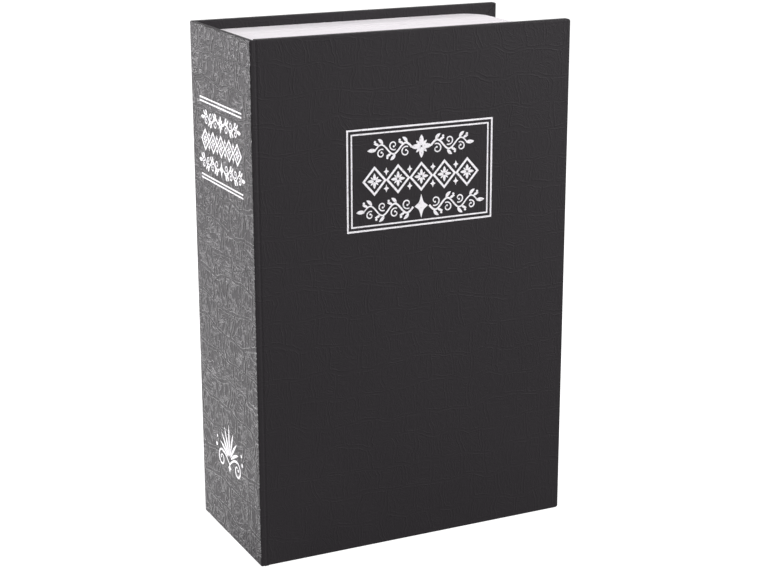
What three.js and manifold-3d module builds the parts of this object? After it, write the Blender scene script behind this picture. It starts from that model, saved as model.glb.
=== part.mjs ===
// Book diversion safe: a hardcover book case round a moulded page frame that holds a steel cash box.
// Millimetres, +Z up. The book stands on its tail with the origin at the bottom centre of its box.
// X runs across the covers from the spine to the fore-edge, Y through the thickness from front to back.
import * as THREE from 'three';
import { mergeVertices } from 'three/addons/utils/BufferGeometryUtils.js';
import Module from 'manifold-3d';

const wasm = await Module();
wasm.setup();

// Overall size of the closed book
const bookWidth = 118;
const bookThickness = 55;
const bookHeight = 180;

// Book case: grey board wrapped in embossed paper
const boardThickness = 2.4;
const spineCardThickness = 1.0;
const paperThickness = 0.3;
const endpaperThickness = 0.2;
const turnInWidth = 13;
const endpaperMargin = 3;
const jointGap = 1.4;
const creaseProud = 0.1;
const caseCornerRadius = 0.8;

// Page frame: one moulding that looks like the three page edges
const headSquare = 3.2;
const foreEdgeOverhang = 8;
const foreEdgeRadius = 8.5;
const spineEdgeRadius = 0.8;
const frameWall = 1.8;
const frameBackRecess = 2;
const frameFlangeWidth = 10;
const collarWall = 1.5;
const collarDepth = 10;
const ribThickness = 1.5;
const ribCountLong = 5;
const ribCountShort = 3;

// Steel box
const tubSheet = 1.0;
const tubCornerRadius = 3;
const lipWidth = 5;
const tubToForeEdge = 13;
const tubToSpine = 13;
const tubToHead = 10.3;

// Lid
const lidSheet = 1.0;
const lidRecess = 1.5;
const skirtDepth = 5;
const skirtGap = 0.4;
const mouthGap = 0.8;
const lidPastAxis = 0.5;
const lidCornerRadius = 1.2;

// Piano hinge
const knuckleRadius = 2.0;
const leafSheet = 0.8;
const pinRadius = 0.9;
const lidLeafWidth = 12;
const tubLeafWidth = 14;
const hingeEndMargin = 5;
const knuckleCount = 15;
const curlGapAngle = 0.7;
const pinHeadRadius = 1.6;
const pinHeadHeight = 0.7;

// Rivets
const leafRivetRadius = 1.5;
const leafRivetHeadRadius = 2.6;
const leafRivetHeadHeight = 0.8;
const leafRivetCount = 5;
const leafRivetEndMargin = 14;
const lidRivetFromAxis = 7.5;
const tubRivetFromAxis = 9.5;
const floorRivetRadius = 2;
const floorRivetHeadRadius = 3.8;
const floorRivetHeadHeight = 1.2;
const floorRivetInset = 6;

// Cam lock
const lockFromTubWall = 18;
const bezelRadius = 9.5;
const bezelThickness = 1.3;
const housingRadius = 6;
const housingFlat = 5;
const housingDepth = 13;
const nutAcrossFlats = 16;
const nutThickness = 3;
const plugRadius = 4.2;
const plugHeadRadius = 5.2;
const plugHeadDepth = 1.3;
const keywayWidth = 1.8;
const keywayHeight = 6;
const keywayDepth = 11;
const tailHalfWidth = 3;
const tailLength = 2;
const camThickness = 1.5;
const camLength = 16;
const camHubRadius = 7;
const camTipRadius = 4.5;
const camWasherRadius = 4.6;
const camWasherThickness = 0.7;
const camScrewRadius = 1.4;
const camScrewHeadRadius = 3.5;
const camScrewHeadHeight = 2;
const camScrewLength = 5;
const crossSlotWidth = 0.9;
const crossSlotLength = 4;
const crossSlotDepth = 1.2;

// Wafers of the lock plug
const waferCount = 4;
const waferThickness = 0.9;
const waferPitch = 2;
const waferFirstDepth = 2.6;
const waferWidth = 5.4;
const waferHalfHeight = 3.3;
const waferWindowWidth = 2.4;

// Strike that the cam turns under
const strikeSheet = 1.2;
const strikeReach = 8;
const strikeLength = 30;
const strikeRivetSpacing = 18;

// Clearances
const glueLine = 0.05;
const coverRest = 0.35;
const seatGap = 0.15;
const restGap = 0.3;
const boreGap = 0.3;
const holeGap = 0.2;
const overrun = 1;
const weldDistance = 1e-5;

// Facet counts
const smallSegments = 12;
const roundSegments = 24;
const arcSegments = 4;
const unitDepth = { depth: 1, bevelEnabled: false, curveSegments: arcSegments };

// Levels and faces that the pieces share, worked out from the sizes above
const xSpine = -bookWidth / 2;
const xFore = bookWidth / 2;
const yFront = -bookThickness / 2;
const yBack = bookThickness / 2;
const paperStack = paperThickness + glueLine;
const coverStack = paperStack + boardThickness + glueLine + paperThickness;
const xCardOuter = xSpine + paperStack;
const xCardInner = xCardOuter + spineCardThickness;
const xSpineInner = xCardInner + paperStack;
const xFrontBoard = xCardInner + jointGap;
const yFrontInner = yFront + coverStack;
const yBackInner = yBack - coverStack;
const xCrease = xCardInner + jointGap / 2;
const yCrease = yFront - creaseProud;

const frameX0 = xSpineInner + glueLine;
const frameX1 = xFore - foreEdgeOverhang;
const frameY0 = yFrontInner + glueLine + endpaperThickness + coverRest;
const frameY1 = yBackInner - glueLine;
const frameZ0 = headSquare;
const frameZ1 = bookHeight - headSquare;

const lidY0 = frameY0 + lidRecess;
const lidY1 = lidY0 + lidSheet;
const leafY0 = lidY1 + seatGap;
const hingeY = leafY0 + knuckleRadius;
const tubX0 = frameX0 + tubToSpine;
const tubX1 = frameX1 - tubToForeEdge;
const tubZ0 = frameZ0 + tubToHead;
const tubZ1 = frameZ1 - tubToHead;
const tubY0 = leafY0 + leafSheet + restGap;
const flangeY1 = frameY1 - frameBackRecess;
const flangeY0 = flangeY1 - frameWall;
const tubY1 = flangeY0 - restGap;
const tubFloorY = tubY1 - tubSheet;
const hingeX = tubX0 - seatGap - knuckleRadius;
const zMiddle = bookHeight / 2;

const lidX0 = hingeX + lidPastAxis;
const lidX1 = tubX1 + skirtGap + lidSheet;
const lidZ0 = tubZ0 - skirtGap - lidSheet;
const lidZ1 = tubZ1 + skirtGap + lidSheet;
const mouthX0 = hingeX - knuckleRadius - seatGap - lidSheet - mouthGap;
const mouthX1 = lidX1 + mouthGap;
const mouthZ0 = lidZ0 - mouthGap;
const mouthZ1 = lidZ1 + mouthGap;
const hingeZ0 = tubZ0 + hingeEndMargin;
const hingeZ1 = tubZ1 - hingeEndMargin;

const lockX = tubX1 - tubSheet - lockFromTubWall;
const bezelY0 = lidY0 - glueLine - bezelThickness;
const housingY1 = lidY1 + housingDepth;
const tailY0 = housingY1 + restGap;
const camY0 = tailY0 + glueLine;
const camY1 = camY0 + camThickness;
const tailY1 = tailY0 + tailLength;
const washerY0 = tailY1 + glueLine;
const washerY1 = washerY0 + camWasherThickness;
const screwHeadY0 = washerY1 + glueLine;
const strikeY1 = camY0 - restGap;
const strikeX1 = tubX1 - tubSheet - glueLine;

// Solids and geometries
function toSolid(geometry) {
  const bare = geometry.clone();
  bare.deleteAttribute('normal');
  bare.deleteAttribute('uv');
  const merged = mergeVertices(bare, weldDistance);
  const mesh = new wasm.Mesh({
    numProp: 3,
    vertProperties: new Float32Array(merged.attributes.position.array),
    triVerts: new Uint32Array(merged.index.array),
  });
  return new wasm.Manifold(mesh);
}

function toGeometry(solid) {
  const mesh = solid.getMesh();
  const geometry = new THREE.BufferGeometry();
  geometry.setAttribute('position', new THREE.BufferAttribute(mesh.vertProperties, 3));
  geometry.setIndex(new THREE.BufferAttribute(mesh.triVerts, 1));
  geometry.computeVertexNormals();
  return geometry;
}

function cut(body, tools) {
  return tools.reduce((solid, tool) => solid.subtract(tool), body);
}

function join(bodies) {
  return bodies.reduce((solid, next) => solid.add(next));
}

// Moves the two ends of a form of unit length along one axis to exact levels
function setEnds(geometry, axis, middle, low, high) {
  const position = geometry.attributes.position;
  for (let i = 0; i < position.count; i += 1) {
    position.setComponent(i, axis, position.getComponent(i, axis) < middle ? low : high);
  }
  return geometry;
}

// An upright box between two corners
function block(x0, x1, y0, y1, z0, z1) {
  const geometry = new THREE.BoxGeometry();
  setEnds(geometry, 0, 0, x0, x1);
  setEnds(geometry, 1, 0, y0, y1);
  return setEnds(geometry, 2, 0, z0, z1);
}

function blockSolid(...corners) {
  return toSolid(block(...corners));
}

// A rectangle whose four corners have their own radii, in the order
// low u low v, high u low v, high u high v, low u high v
function roundedOutline(u0, u1, v0, v1, radii) {
  const [a, b, c, d] = radii;
  const shape = new THREE.Shape();
  shape.moveTo(u0 + a, v0);
  shape.lineTo(u1 - b, v0);
  if (b > 0) shape.absarc(u1 - b, v0 + b, b, -Math.PI / 2, 0, false);
  shape.lineTo(u1, v1 - c);
  if (c > 0) shape.absarc(u1 - c, v1 - c, c, 0, Math.PI / 2, false);
  shape.lineTo(u0 + d, v1);
  if (d > 0) shape.absarc(u0 + d, v1 - d, d, Math.PI / 2, Math.PI, false);
  shape.lineTo(u0, v0 + a);
  if (a > 0) shape.absarc(u0 + a, v0 + a, a, Math.PI, Math.PI * 1.5, false);
  return shape;
}

// An outline in X and Y raised along Z
function prismZ(shape, z0, z1) {
  const geometry = new THREE.ExtrudeGeometry(shape, unitDepth);
  return toSolid(setEnds(geometry, 2, unitDepth.depth / 2, z0, z1));
}

// An outline in X and Z carried through the thickness, along Y
function prismY(shape, y0, y1) {
  const geometry = new THREE.ExtrudeGeometry(shape, unitDepth);
  geometry.rotateX(Math.PI / 2);
  return toSolid(setEnds(geometry, 1, -unitDepth.depth / 2, y0, y1));
}

// A round body about a line along Y: profile points are radius and Y
function turnedY(profile, x, z, segments) {
  const points = profile.map(([radius, y]) => new THREE.Vector2(radius, y));
  const geometry = new THREE.LatheGeometry(points, segments);
  geometry.translate(x, 0, z);
  return geometry;
}

function rodY(radius, x, z, y0, y1, segments) {
  return toSolid(turnedY([[0, y0], [radius, y0], [radius, y1], [0, y1]], x, z, segments));
}

function rodX(radius, y, z, x0, x1, segments) {
  const geometry = new THREE.CylinderGeometry(radius, radius, 1, segments);
  geometry.rotateZ(Math.PI / 2);
  geometry.translate(0, y, z);
  return toSolid(setEnds(geometry, 0, 0, x0, x1));
}

function rodZ(radius, x, y, z0, z1, segments) {
  const geometry = new THREE.CylinderGeometry(radius, radius, 1, segments);
  geometry.rotateX(Math.PI / 2);
  geometry.translate(x, y, 0);
  return toSolid(setEnds(geometry, 2, 0, z0, z1));
}

function spread(count, from, to) {
  return Array.from({ length: count }, (_, i) => from + ((to - from) * i) / (count - 1));
}

// Materials
const looks = {
  cover: { color: 0x353235, roughness: 0.62, metalness: 0 },
  board: { color: 0x8d867b, roughness: 0.95, metalness: 0 },
  endpaper: { color: 0xdedcd8, roughness: 0.85, metalness: 0 },
  pages: { color: 0xf1efef, roughness: 0.55, metalness: 0 },
  enamel: { color: 0x2c2d2f, roughness: 0.5, metalness: 0.2 },
  zinc: { color: 0xb9bbbd, roughness: 0.35, metalness: 0.9 },
  chrome: { color: 0xc9cacb, roughness: 0.2, metalness: 1 },
  brass: { color: 0xb59a5a, roughness: 0.35, metalness: 1 },
};
const materials = Object.fromEntries(
  Object.entries(looks).map(([name, look]) => [name, new THREE.MeshStandardMaterial(look)]),
);

// Scene graph: the cover and the lid turn about their own hinge lines, the lock's core turns in the lid
const safe = new THREE.Group();

function pivot(parent, x, y, z) {
  const group = new THREE.Group();
  group.position.set(x, y, z).sub(parent.userData.origin ?? new THREE.Vector3());
  group.userData.origin = new THREE.Vector3(x, y, z);
  parent.add(group);
  return group;
}

const coverPivot = pivot(safe, xCrease, yCrease, 0);
const lidPivot = pivot(safe, hingeX, hingeY, 0);
const lockPivot = pivot(lidPivot, lockX, lidY0, zMiddle);

// Shapes are drawn in the book's own frame, so a mesh in a turning group is set back by its pivot
function add(name, body, material, parent = safe) {
  const geometry = body.isBufferGeometry ? body : toGeometry(body);
  const mesh = new THREE.Mesh(geometry, materials[material]);
  mesh.name = name;
  if (parent.userData.origin) mesh.position.copy(parent.userData.origin).negate();
  parent.add(mesh);
}

// Front cover: board, wrap with turn-ins, endpaper
function frontCover() {
  const corners = [0, caseCornerRadius, caseCornerRadius, 0];
  const slab = join([
    prismY(
      roundedOutline(xFrontBoard - glueLine, xFore, 0, bookHeight, corners),
      yFront,
      yFrontInner,
    ),
    blockSolid(
      xCardInner + glueLine + restGap,
      xFrontBoard,
      yFront,
      yFront + paperThickness,
      0,
      bookHeight,
    ),
  ]);
  const pocket = prismY(
    roundedOutline(
      xFrontBoard - overrun,
      xFore - paperThickness,
      paperThickness,
      bookHeight - paperThickness,
      corners,
    ),
    yFront + paperThickness,
    yFrontInner - paperThickness,
  );
  const turnInWindow = blockSolid(
    xFrontBoard - overrun,
    xFore - turnInWidth,
    yFrontInner - paperThickness - overrun,
    yFrontInner + overrun,
    turnInWidth,
    bookHeight - turnInWidth,
  );
  const board = prismY(
    roundedOutline(xFrontBoard, xFore - paperStack, paperStack, bookHeight - paperStack, corners),
    yFront + paperStack,
    yFront + paperStack + boardThickness,
  );
  add('front_wrap', cut(slab, [pocket, turnInWindow]), 'cover', coverPivot);
  add('front_board', board, 'board', coverPivot);
  const endpaperY0 = yFrontInner + glueLine;
  add(
    'front_endpaper',
    block(
      xFrontBoard,
      xFore - endpaperMargin,
      endpaperY0,
      endpaperY0 + endpaperThickness,
      endpaperMargin,
      bookHeight - endpaperMargin,
    ),
    'endpaper',
    coverPivot,
  );
}

// Spine and back cover: card, board and the one sheet of wrap round both
function fixedCase() {
  const corners = [0, caseCornerRadius, caseCornerRadius, 0];
  const backSlab = prismY(roundedOutline(xSpine, xFore, 0, bookHeight, corners), yBackInner, yBack);
  const spineSlab = blockSolid(xSpine, xSpineInner, yFront, yBack, 0, bookHeight);
  const frontFold = blockSolid(
    xCardInner + glueLine,
    xSpineInner + overrun,
    yFront - overrun,
    yFront + paperStack,
    -overrun,
    bookHeight + overrun,
  );
  const cardPocket = blockSolid(
    xSpine + paperThickness,
    xCardInner + glueLine,
    yFront + paperThickness,
    yBack - paperThickness,
    paperThickness,
    bookHeight - paperThickness,
  );
  const boardPocket = prismY(
    roundedOutline(
      xCardInner,
      xFore - paperThickness,
      paperThickness,
      bookHeight - paperThickness,
      corners,
    ),
    yBackInner + paperThickness,
    yBack - paperThickness,
  );
  const spineWindow = blockSolid(
    xCardOuter,
    xSpineInner + overrun,
    yFront + paperStack,
    yBack - paperStack,
    turnInWidth,
    bookHeight - turnInWidth,
  );
  const backWindow = blockSolid(
    xCardOuter,
    xFore - turnInWidth,
    yBackInner - overrun,
    yBackInner + paperThickness + overrun,
    turnInWidth,
    bookHeight - turnInWidth,
  );
  const wrap = cut(join([backSlab, spineSlab]), [
    frontFold,
    cardPocket,
    boardPocket,
    spineWindow,
    backWindow,
  ]);
  add('case_wrap', wrap, 'cover');
  add(
    'spine_card',
    block(
      xCardOuter,
      xCardInner,
      yFront + paperStack,
      yBack - paperStack,
      paperStack,
      bookHeight - paperStack,
    ),
    'board',
  );
  const board = prismY(
    roundedOutline(xFrontBoard, xFore - paperStack, paperStack, bookHeight - paperStack, corners),
    yBack - paperStack - boardThickness,
    yBack - paperStack,
  );
  add('back_board', board, 'board');
}

// Places of the four rivets that hold the tub to the frame's flange
const floorRivetPlaces = [tubX0 + floorRivetInset, tubX1 - floorRivetInset].flatMap((x) =>
  [tubZ0 + floorRivetInset, tubZ1 - floorRivetInset].map((z) => [x, z]),
);

// Page frame: outer wall with the rounded fore-edge, front rim, collar, back flange and ribs
function pageFrame() {
  const outer = prismZ(
    roundedOutline(frameX0, frameX1, frameY0, frameY1, [
      spineEdgeRadius,
      foreEdgeRadius,
      foreEdgeRadius,
      spineEdgeRadius,
    ]),
    frameZ0,
    frameZ1,
  );
  const innerRadius = foreEdgeRadius - frameWall;
  const hollow = (y0, y1, frontRadius, backRadius) =>
    prismZ(
      roundedOutline(frameX0 + frameWall, frameX1 - frameWall, y0, y1, [
        0,
        frontRadius,
        backRadius,
        0,
      ]),
      frameZ0 + frameWall,
      frameZ1 - frameWall,
    );
  const shell = outer.subtract(hollow(frameY0 + frameWall, flangeY0, innerRadius, 0));
  const backRecess = blockSolid(
    frameX0 + frameWall,
    frameX1 - foreEdgeRadius,
    flangeY1,
    frameY1 + overrun,
    frameZ0 + frameWall,
    frameZ1 - frameWall,
  );
  const collarBox = (grow, y0, y1) =>
    blockSolid(mouthX0 - grow, mouthX1 + grow, y0, y1, mouthZ0 - grow, mouthZ1 + grow);
  const collar = collarBox(collarWall, frameY0 + frameWall / 2, frameY0 + collarDepth);
  const ribSlab = (x0, x1, z0, z1) =>
    blockSolid(x0, x1, frameY0 + frameWall / 2, flangeY0 + frameWall / 2, z0, z1);
  const halfRib = ribThickness / 2;
  const longRibs = spread(ribCountLong + 2, frameZ0, frameZ1)
    .slice(1, -1)
    .map((z) => ribSlab(frameX0 + frameWall / 2, frameX1 - frameWall / 2, z - halfRib, z + halfRib));
  const shortRibs = spread(ribCountShort + 2, frameX0, frameX1)
    .slice(1, -1)
    .map((x) => ribSlab(x - halfRib, x + halfRib, frameZ0 + frameWall / 2, frameZ1 - frameWall / 2));
  const ribs = join([...longRibs, ...shortRibs, collar]).intersect(outer);
  const mouth = collarBox(0, frameY0 - overrun, flangeY0);
  const backWindow = blockSolid(
    tubX0 + frameFlangeWidth,
    tubX1 - frameFlangeWidth,
    flangeY0 - overrun,
    flangeY1 + overrun,
    tubZ0 + frameFlangeWidth,
    tubZ1 - frameFlangeWidth,
  );
  const rivetHoles = floorRivetPlaces.map(([x, z]) =>
    rodY(floorRivetRadius + holeGap, x, z, flangeY0 - overrun, flangeY1 + overrun, smallSegments),
  );
  add('page_frame', cut(shell.add(ribs), [mouth, backRecess, backWindow, ...rivetHoles]), 'pages');
}

// Rivet positions along the hinge
const leafRivetLevels = spread(
  leafRivetCount,
  hingeZ0 + leafRivetEndMargin,
  hingeZ1 - leafRivetEndMargin,
);
const lidRivetX = hingeX + lidRivetFromAxis;
const tubRivetY = hingeY + tubRivetFromAxis;
const rivetHoleRadius = leafRivetRadius + holeGap;
const strikeRivetY = (tubY0 + tubSheet + strikeY1) / 2;
const strikeRivetLevels = [zMiddle - strikeRivetSpacing / 2, zMiddle + strikeRivetSpacing / 2];

// Tub: folded sheet with a floor, four walls and inward lips on the three sides away from the hinge
function tub() {
  const outline = (inset) => {
    const r = tubCornerRadius - inset;
    return roundedOutline(tubX0 + inset, tubX1 - inset, tubZ0 + inset, tubZ1 - inset, [r, r, r, r]);
  };
  const body = prismY(outline(0), tubY0, tubY1);
  const inside = prismY(outline(tubSheet), tubY0 + tubSheet, tubFloorY);
  const mouth = blockSolid(
    tubX0 + tubSheet,
    tubX1 - tubSheet - lipWidth,
    tubY0 - overrun,
    tubY0 + tubSheet + overrun,
    tubZ0 + tubSheet + lipWidth,
    tubZ1 - tubSheet - lipWidth,
  );
  const floorHoles = floorRivetPlaces.map(([x, z]) =>
    rodY(floorRivetRadius + holeGap, x, z, tubFloorY - overrun, tubY1 + overrun, smallSegments),
  );
  const hingeHoles = leafRivetLevels.map((z) =>
    rodX(rivetHoleRadius, tubRivetY, z, tubX0 - overrun, tubX0 + tubSheet + overrun, smallSegments),
  );
  const strikeHoles = strikeRivetLevels.map((z) =>
    rodX(
      rivetHoleRadius,
      strikeRivetY,
      z,
      tubX1 - tubSheet - overrun,
      tubX1 + overrun,
      smallSegments,
    ),
  );
  add('tub', cut(body, [inside, mouth, ...floorHoles, ...hingeHoles, ...strikeHoles]), 'enamel');
}

// A rivet along Y from its head face to its tail face: domed head, shank through the stack, set tail
function rivetProfile(shank, head, headHeight, from, to) {
  const lip = headHeight / 4;
  return [
    [0, from - headHeight],
    [head / 2, from - headHeight],
    [head, from - lip],
    [head, from],
    [shank, from],
    [shank, to],
    [head - lip, to],
    [head - lip, to + headHeight - lip],
    [head / 2, to + headHeight],
    [0, to + headHeight],
  ];
}

function floorRivets() {
  floorRivetPlaces.forEach(([x, z], i) => {
    const profile = rivetProfile(
      floorRivetRadius,
      floorRivetHeadRadius,
      floorRivetHeadHeight,
      tubFloorY - glueLine,
      flangeY1 + glueLine,
    );
    add(`floor_rivet_${i + 1}`, turnedY(profile, x, z, smallSegments), 'zinc');
  });
}

// A rivet along X, turned from the same profile
function rivetAcross(from, to, y, z) {
  const profile = rivetProfile(leafRivetRadius, leafRivetHeadRadius, leafRivetHeadHeight, from, to);
  const geometry = turnedY(profile, 0, 0, smallSegments);
  geometry.rotateZ(-Math.PI / 2);
  geometry.translate(0, y, z);
  return geometry;
}

// Section of a rolled leaf in X and Y about the hinge line: a flat tangent to the barrel and its curl
function rolledLeafSection(flatEnd) {
  const outer = knuckleRadius;
  const inner = knuckleRadius - leafSheet;
  const shape = new THREE.Shape();
  shape.moveTo(flatEnd, -outer);
  shape.lineTo(0, -outer);
  shape.absarc(0, 0, outer, -Math.PI / 2, -Math.PI * 2 + curlGapAngle, true);
  shape.absarc(0, 0, inner, -Math.PI * 2 + curlGapAngle, -Math.PI / 2, false);
  shape.lineTo(flatEnd, -inner);
  return shape;
}

const knuckleLength = (hingeZ1 - hingeZ0) / knuckleCount;

// A leaf with knuckles on the even or the odd places and notches for the other leaf's
function hingeLeaf(flatWidth, ownParity) {
  const leaf = prismZ(rolledLeafSection(flatWidth), 0, hingeZ1 - hingeZ0);
  const notchReach = knuckleRadius + boreGap;
  const notches = [];
  for (let i = 0; i < knuckleCount; i += 1) {
    if (i % 2 === ownParity) continue;
    const z0 = i * knuckleLength - (i === 0 ? overrun : boreGap / 2);
    const z1 = (i + 1) * knuckleLength + (i === knuckleCount - 1 ? overrun : boreGap / 2);
    notches.push(blockSolid(-notchReach, notchReach, -notchReach, notchReach, z0, z1));
  }
  return cut(leaf, notches);
}

function pianoHinge() {
  const lidHoles = leafRivetLevels.map((z) =>
    rodY(rivetHoleRadius, lidRivetX, z, lidY1, tubY0, smallSegments),
  );
  const lidLeaf = hingeLeaf(lidLeafWidth, 1).translate([hingeX, hingeY, hingeZ0]);
  add('lid_hinge_leaf', cut(lidLeaf, lidHoles), 'zinc', lidPivot);

  const tubHoles = leafRivetLevels.map((z) =>
    rodX(rivetHoleRadius, tubRivetY, z, hingeX, tubX0, smallSegments),
  );
  const tubLeaf = hingeLeaf(tubLeafWidth, 0)
    .mirror([0, 1, 0])
    .rotate([0, 0, 90])
    .mirror([1, 0, 0])
    .translate([hingeX, hingeY, hingeZ0]);
  add('tub_hinge_leaf', cut(tubLeaf, tubHoles), 'zinc');

  const pinFoot = hingeZ0 - restGap;
  const pinTop = hingeZ1 + restGap;
  const inHead = pinHeadHeight / 2;
  const pin = rodZ(pinRadius, hingeX, hingeY, pinFoot - inHead, pinTop + inHead, smallSegments);
  const pinHeads = [pinFoot - pinHeadHeight, pinTop].map((z) =>
    rodZ(pinHeadRadius, hingeX, hingeY, z, z + pinHeadHeight, smallSegments),
  );
  add('hinge_pin', join([pin, ...pinHeads]), 'zinc');

  leafRivetLevels.forEach((z, i) => {
    const profile = rivetProfile(
      leafRivetRadius,
      leafRivetHeadRadius,
      leafRivetHeadHeight,
      lidY0 - glueLine,
      leafY0 + leafSheet + glueLine,
    );
    add(`lid_rivet_${i + 1}`, turnedY(profile, lidRivetX, z, smallSegments), 'zinc', lidPivot);
    const from = tubX0 - seatGap - leafSheet - glueLine;
    const to = tubX0 + tubSheet + glueLine;
    add(`hinge_rivet_${i + 1}`, rivetAcross(from, to, tubRivetY, z), 'zinc');
  });
}

// Lid: flat sheet with a turned-in skirt on three sides
function lid() {
  const r = lidCornerRadius;
  const plateOutline = roundedOutline(lidX0, lidX1, lidZ0, lidZ1, [0, r, r, 0]);
  const blank = prismY(plateOutline, lidY0, lidY1 + skirtDepth);
  const inside = blockSolid(
    lidX0 - overrun,
    lidX1 - lidSheet,
    lidY1,
    lidY1 + skirtDepth + overrun,
    lidZ0 + lidSheet,
    lidZ1 - lidSheet,
  );
  const rivetHoles = leafRivetLevels.map((z) =>
    rodY(rivetHoleRadius, lidRivetX, z, lidY0 - overrun, lidY1 + overrun, smallSegments),
  );
  const lockHole = doubleD(
    housingRadius + holeGap,
    housingFlat + holeGap,
    lidY0 - overrun,
    lidY1 + overrun,
  );
  add('lid', cut(blank, [inside, ...rivetHoles, lockHole]), 'enamel', lidPivot);
}

// A round rod about the lock's line with two flats, above and below
function doubleD(radius, flat, y0, y1) {
  const rod = rodY(radius, lockX, zMiddle, y0, y1, roundSegments);
  const between = blockSolid(
    lockX - radius - overrun,
    lockX + radius + overrun,
    y0 - overrun,
    y1 + overrun,
    zMiddle - flat,
    zMiddle + flat,
  );
  return rod.intersect(between);
}

// Lock housing and the nut that clamps it to the lid
function lockCase() {
  const rim = bezelThickness / 3;
  const bezel = toSolid(
    turnedY(
      [
        [0, bezelY0],
        [bezelRadius - rim, bezelY0],
        [bezelRadius, bezelY0 + rim],
        [bezelRadius, lidY0 - glueLine],
        [0, lidY0 - glueLine],
      ],
      lockX,
      zMiddle,
      roundSegments,
    ),
  );
  const barrel = doubleD(housingRadius, housingFlat, lidY0 - glueLine - rim, housingY1);
  const bore = rodY(
    plugRadius + boreGap,
    lockX,
    zMiddle,
    bezelY0 - overrun,
    housingY1 + overrun,
    roundSegments,
  );
  const counterbore = rodY(
    plugHeadRadius + boreGap,
    lockX,
    zMiddle,
    bezelY0 - overrun,
    bezelY0 + plugHeadDepth + boreGap,
    roundSegments,
  );
  add('lock_housing', cut(bezel.add(barrel), [bore, counterbore]), 'chrome', lidPivot);

  const nutRadius = nutAcrossFlats / 2 / Math.cos(Math.PI / 6);
  const nutY0 = lidY1 + glueLine;
  const nutY1 = nutY0 + nutThickness;
  const nut = rodY(nutRadius, lockX, zMiddle, nutY0, nutY1, 6);
  const threadRadius = housingRadius + holeGap;
  const thread = doubleD(threadRadius, threadRadius, nutY0 - overrun, nutY1 + overrun);
  add('lock_nut', nut.subtract(thread), 'zinc', lidPivot);
}

// Depths of the wafer slots behind the plug's face
const waferDepths = Array.from({ length: waferCount }, (_, i) => waferFirstDepth + i * waferPitch);

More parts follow.
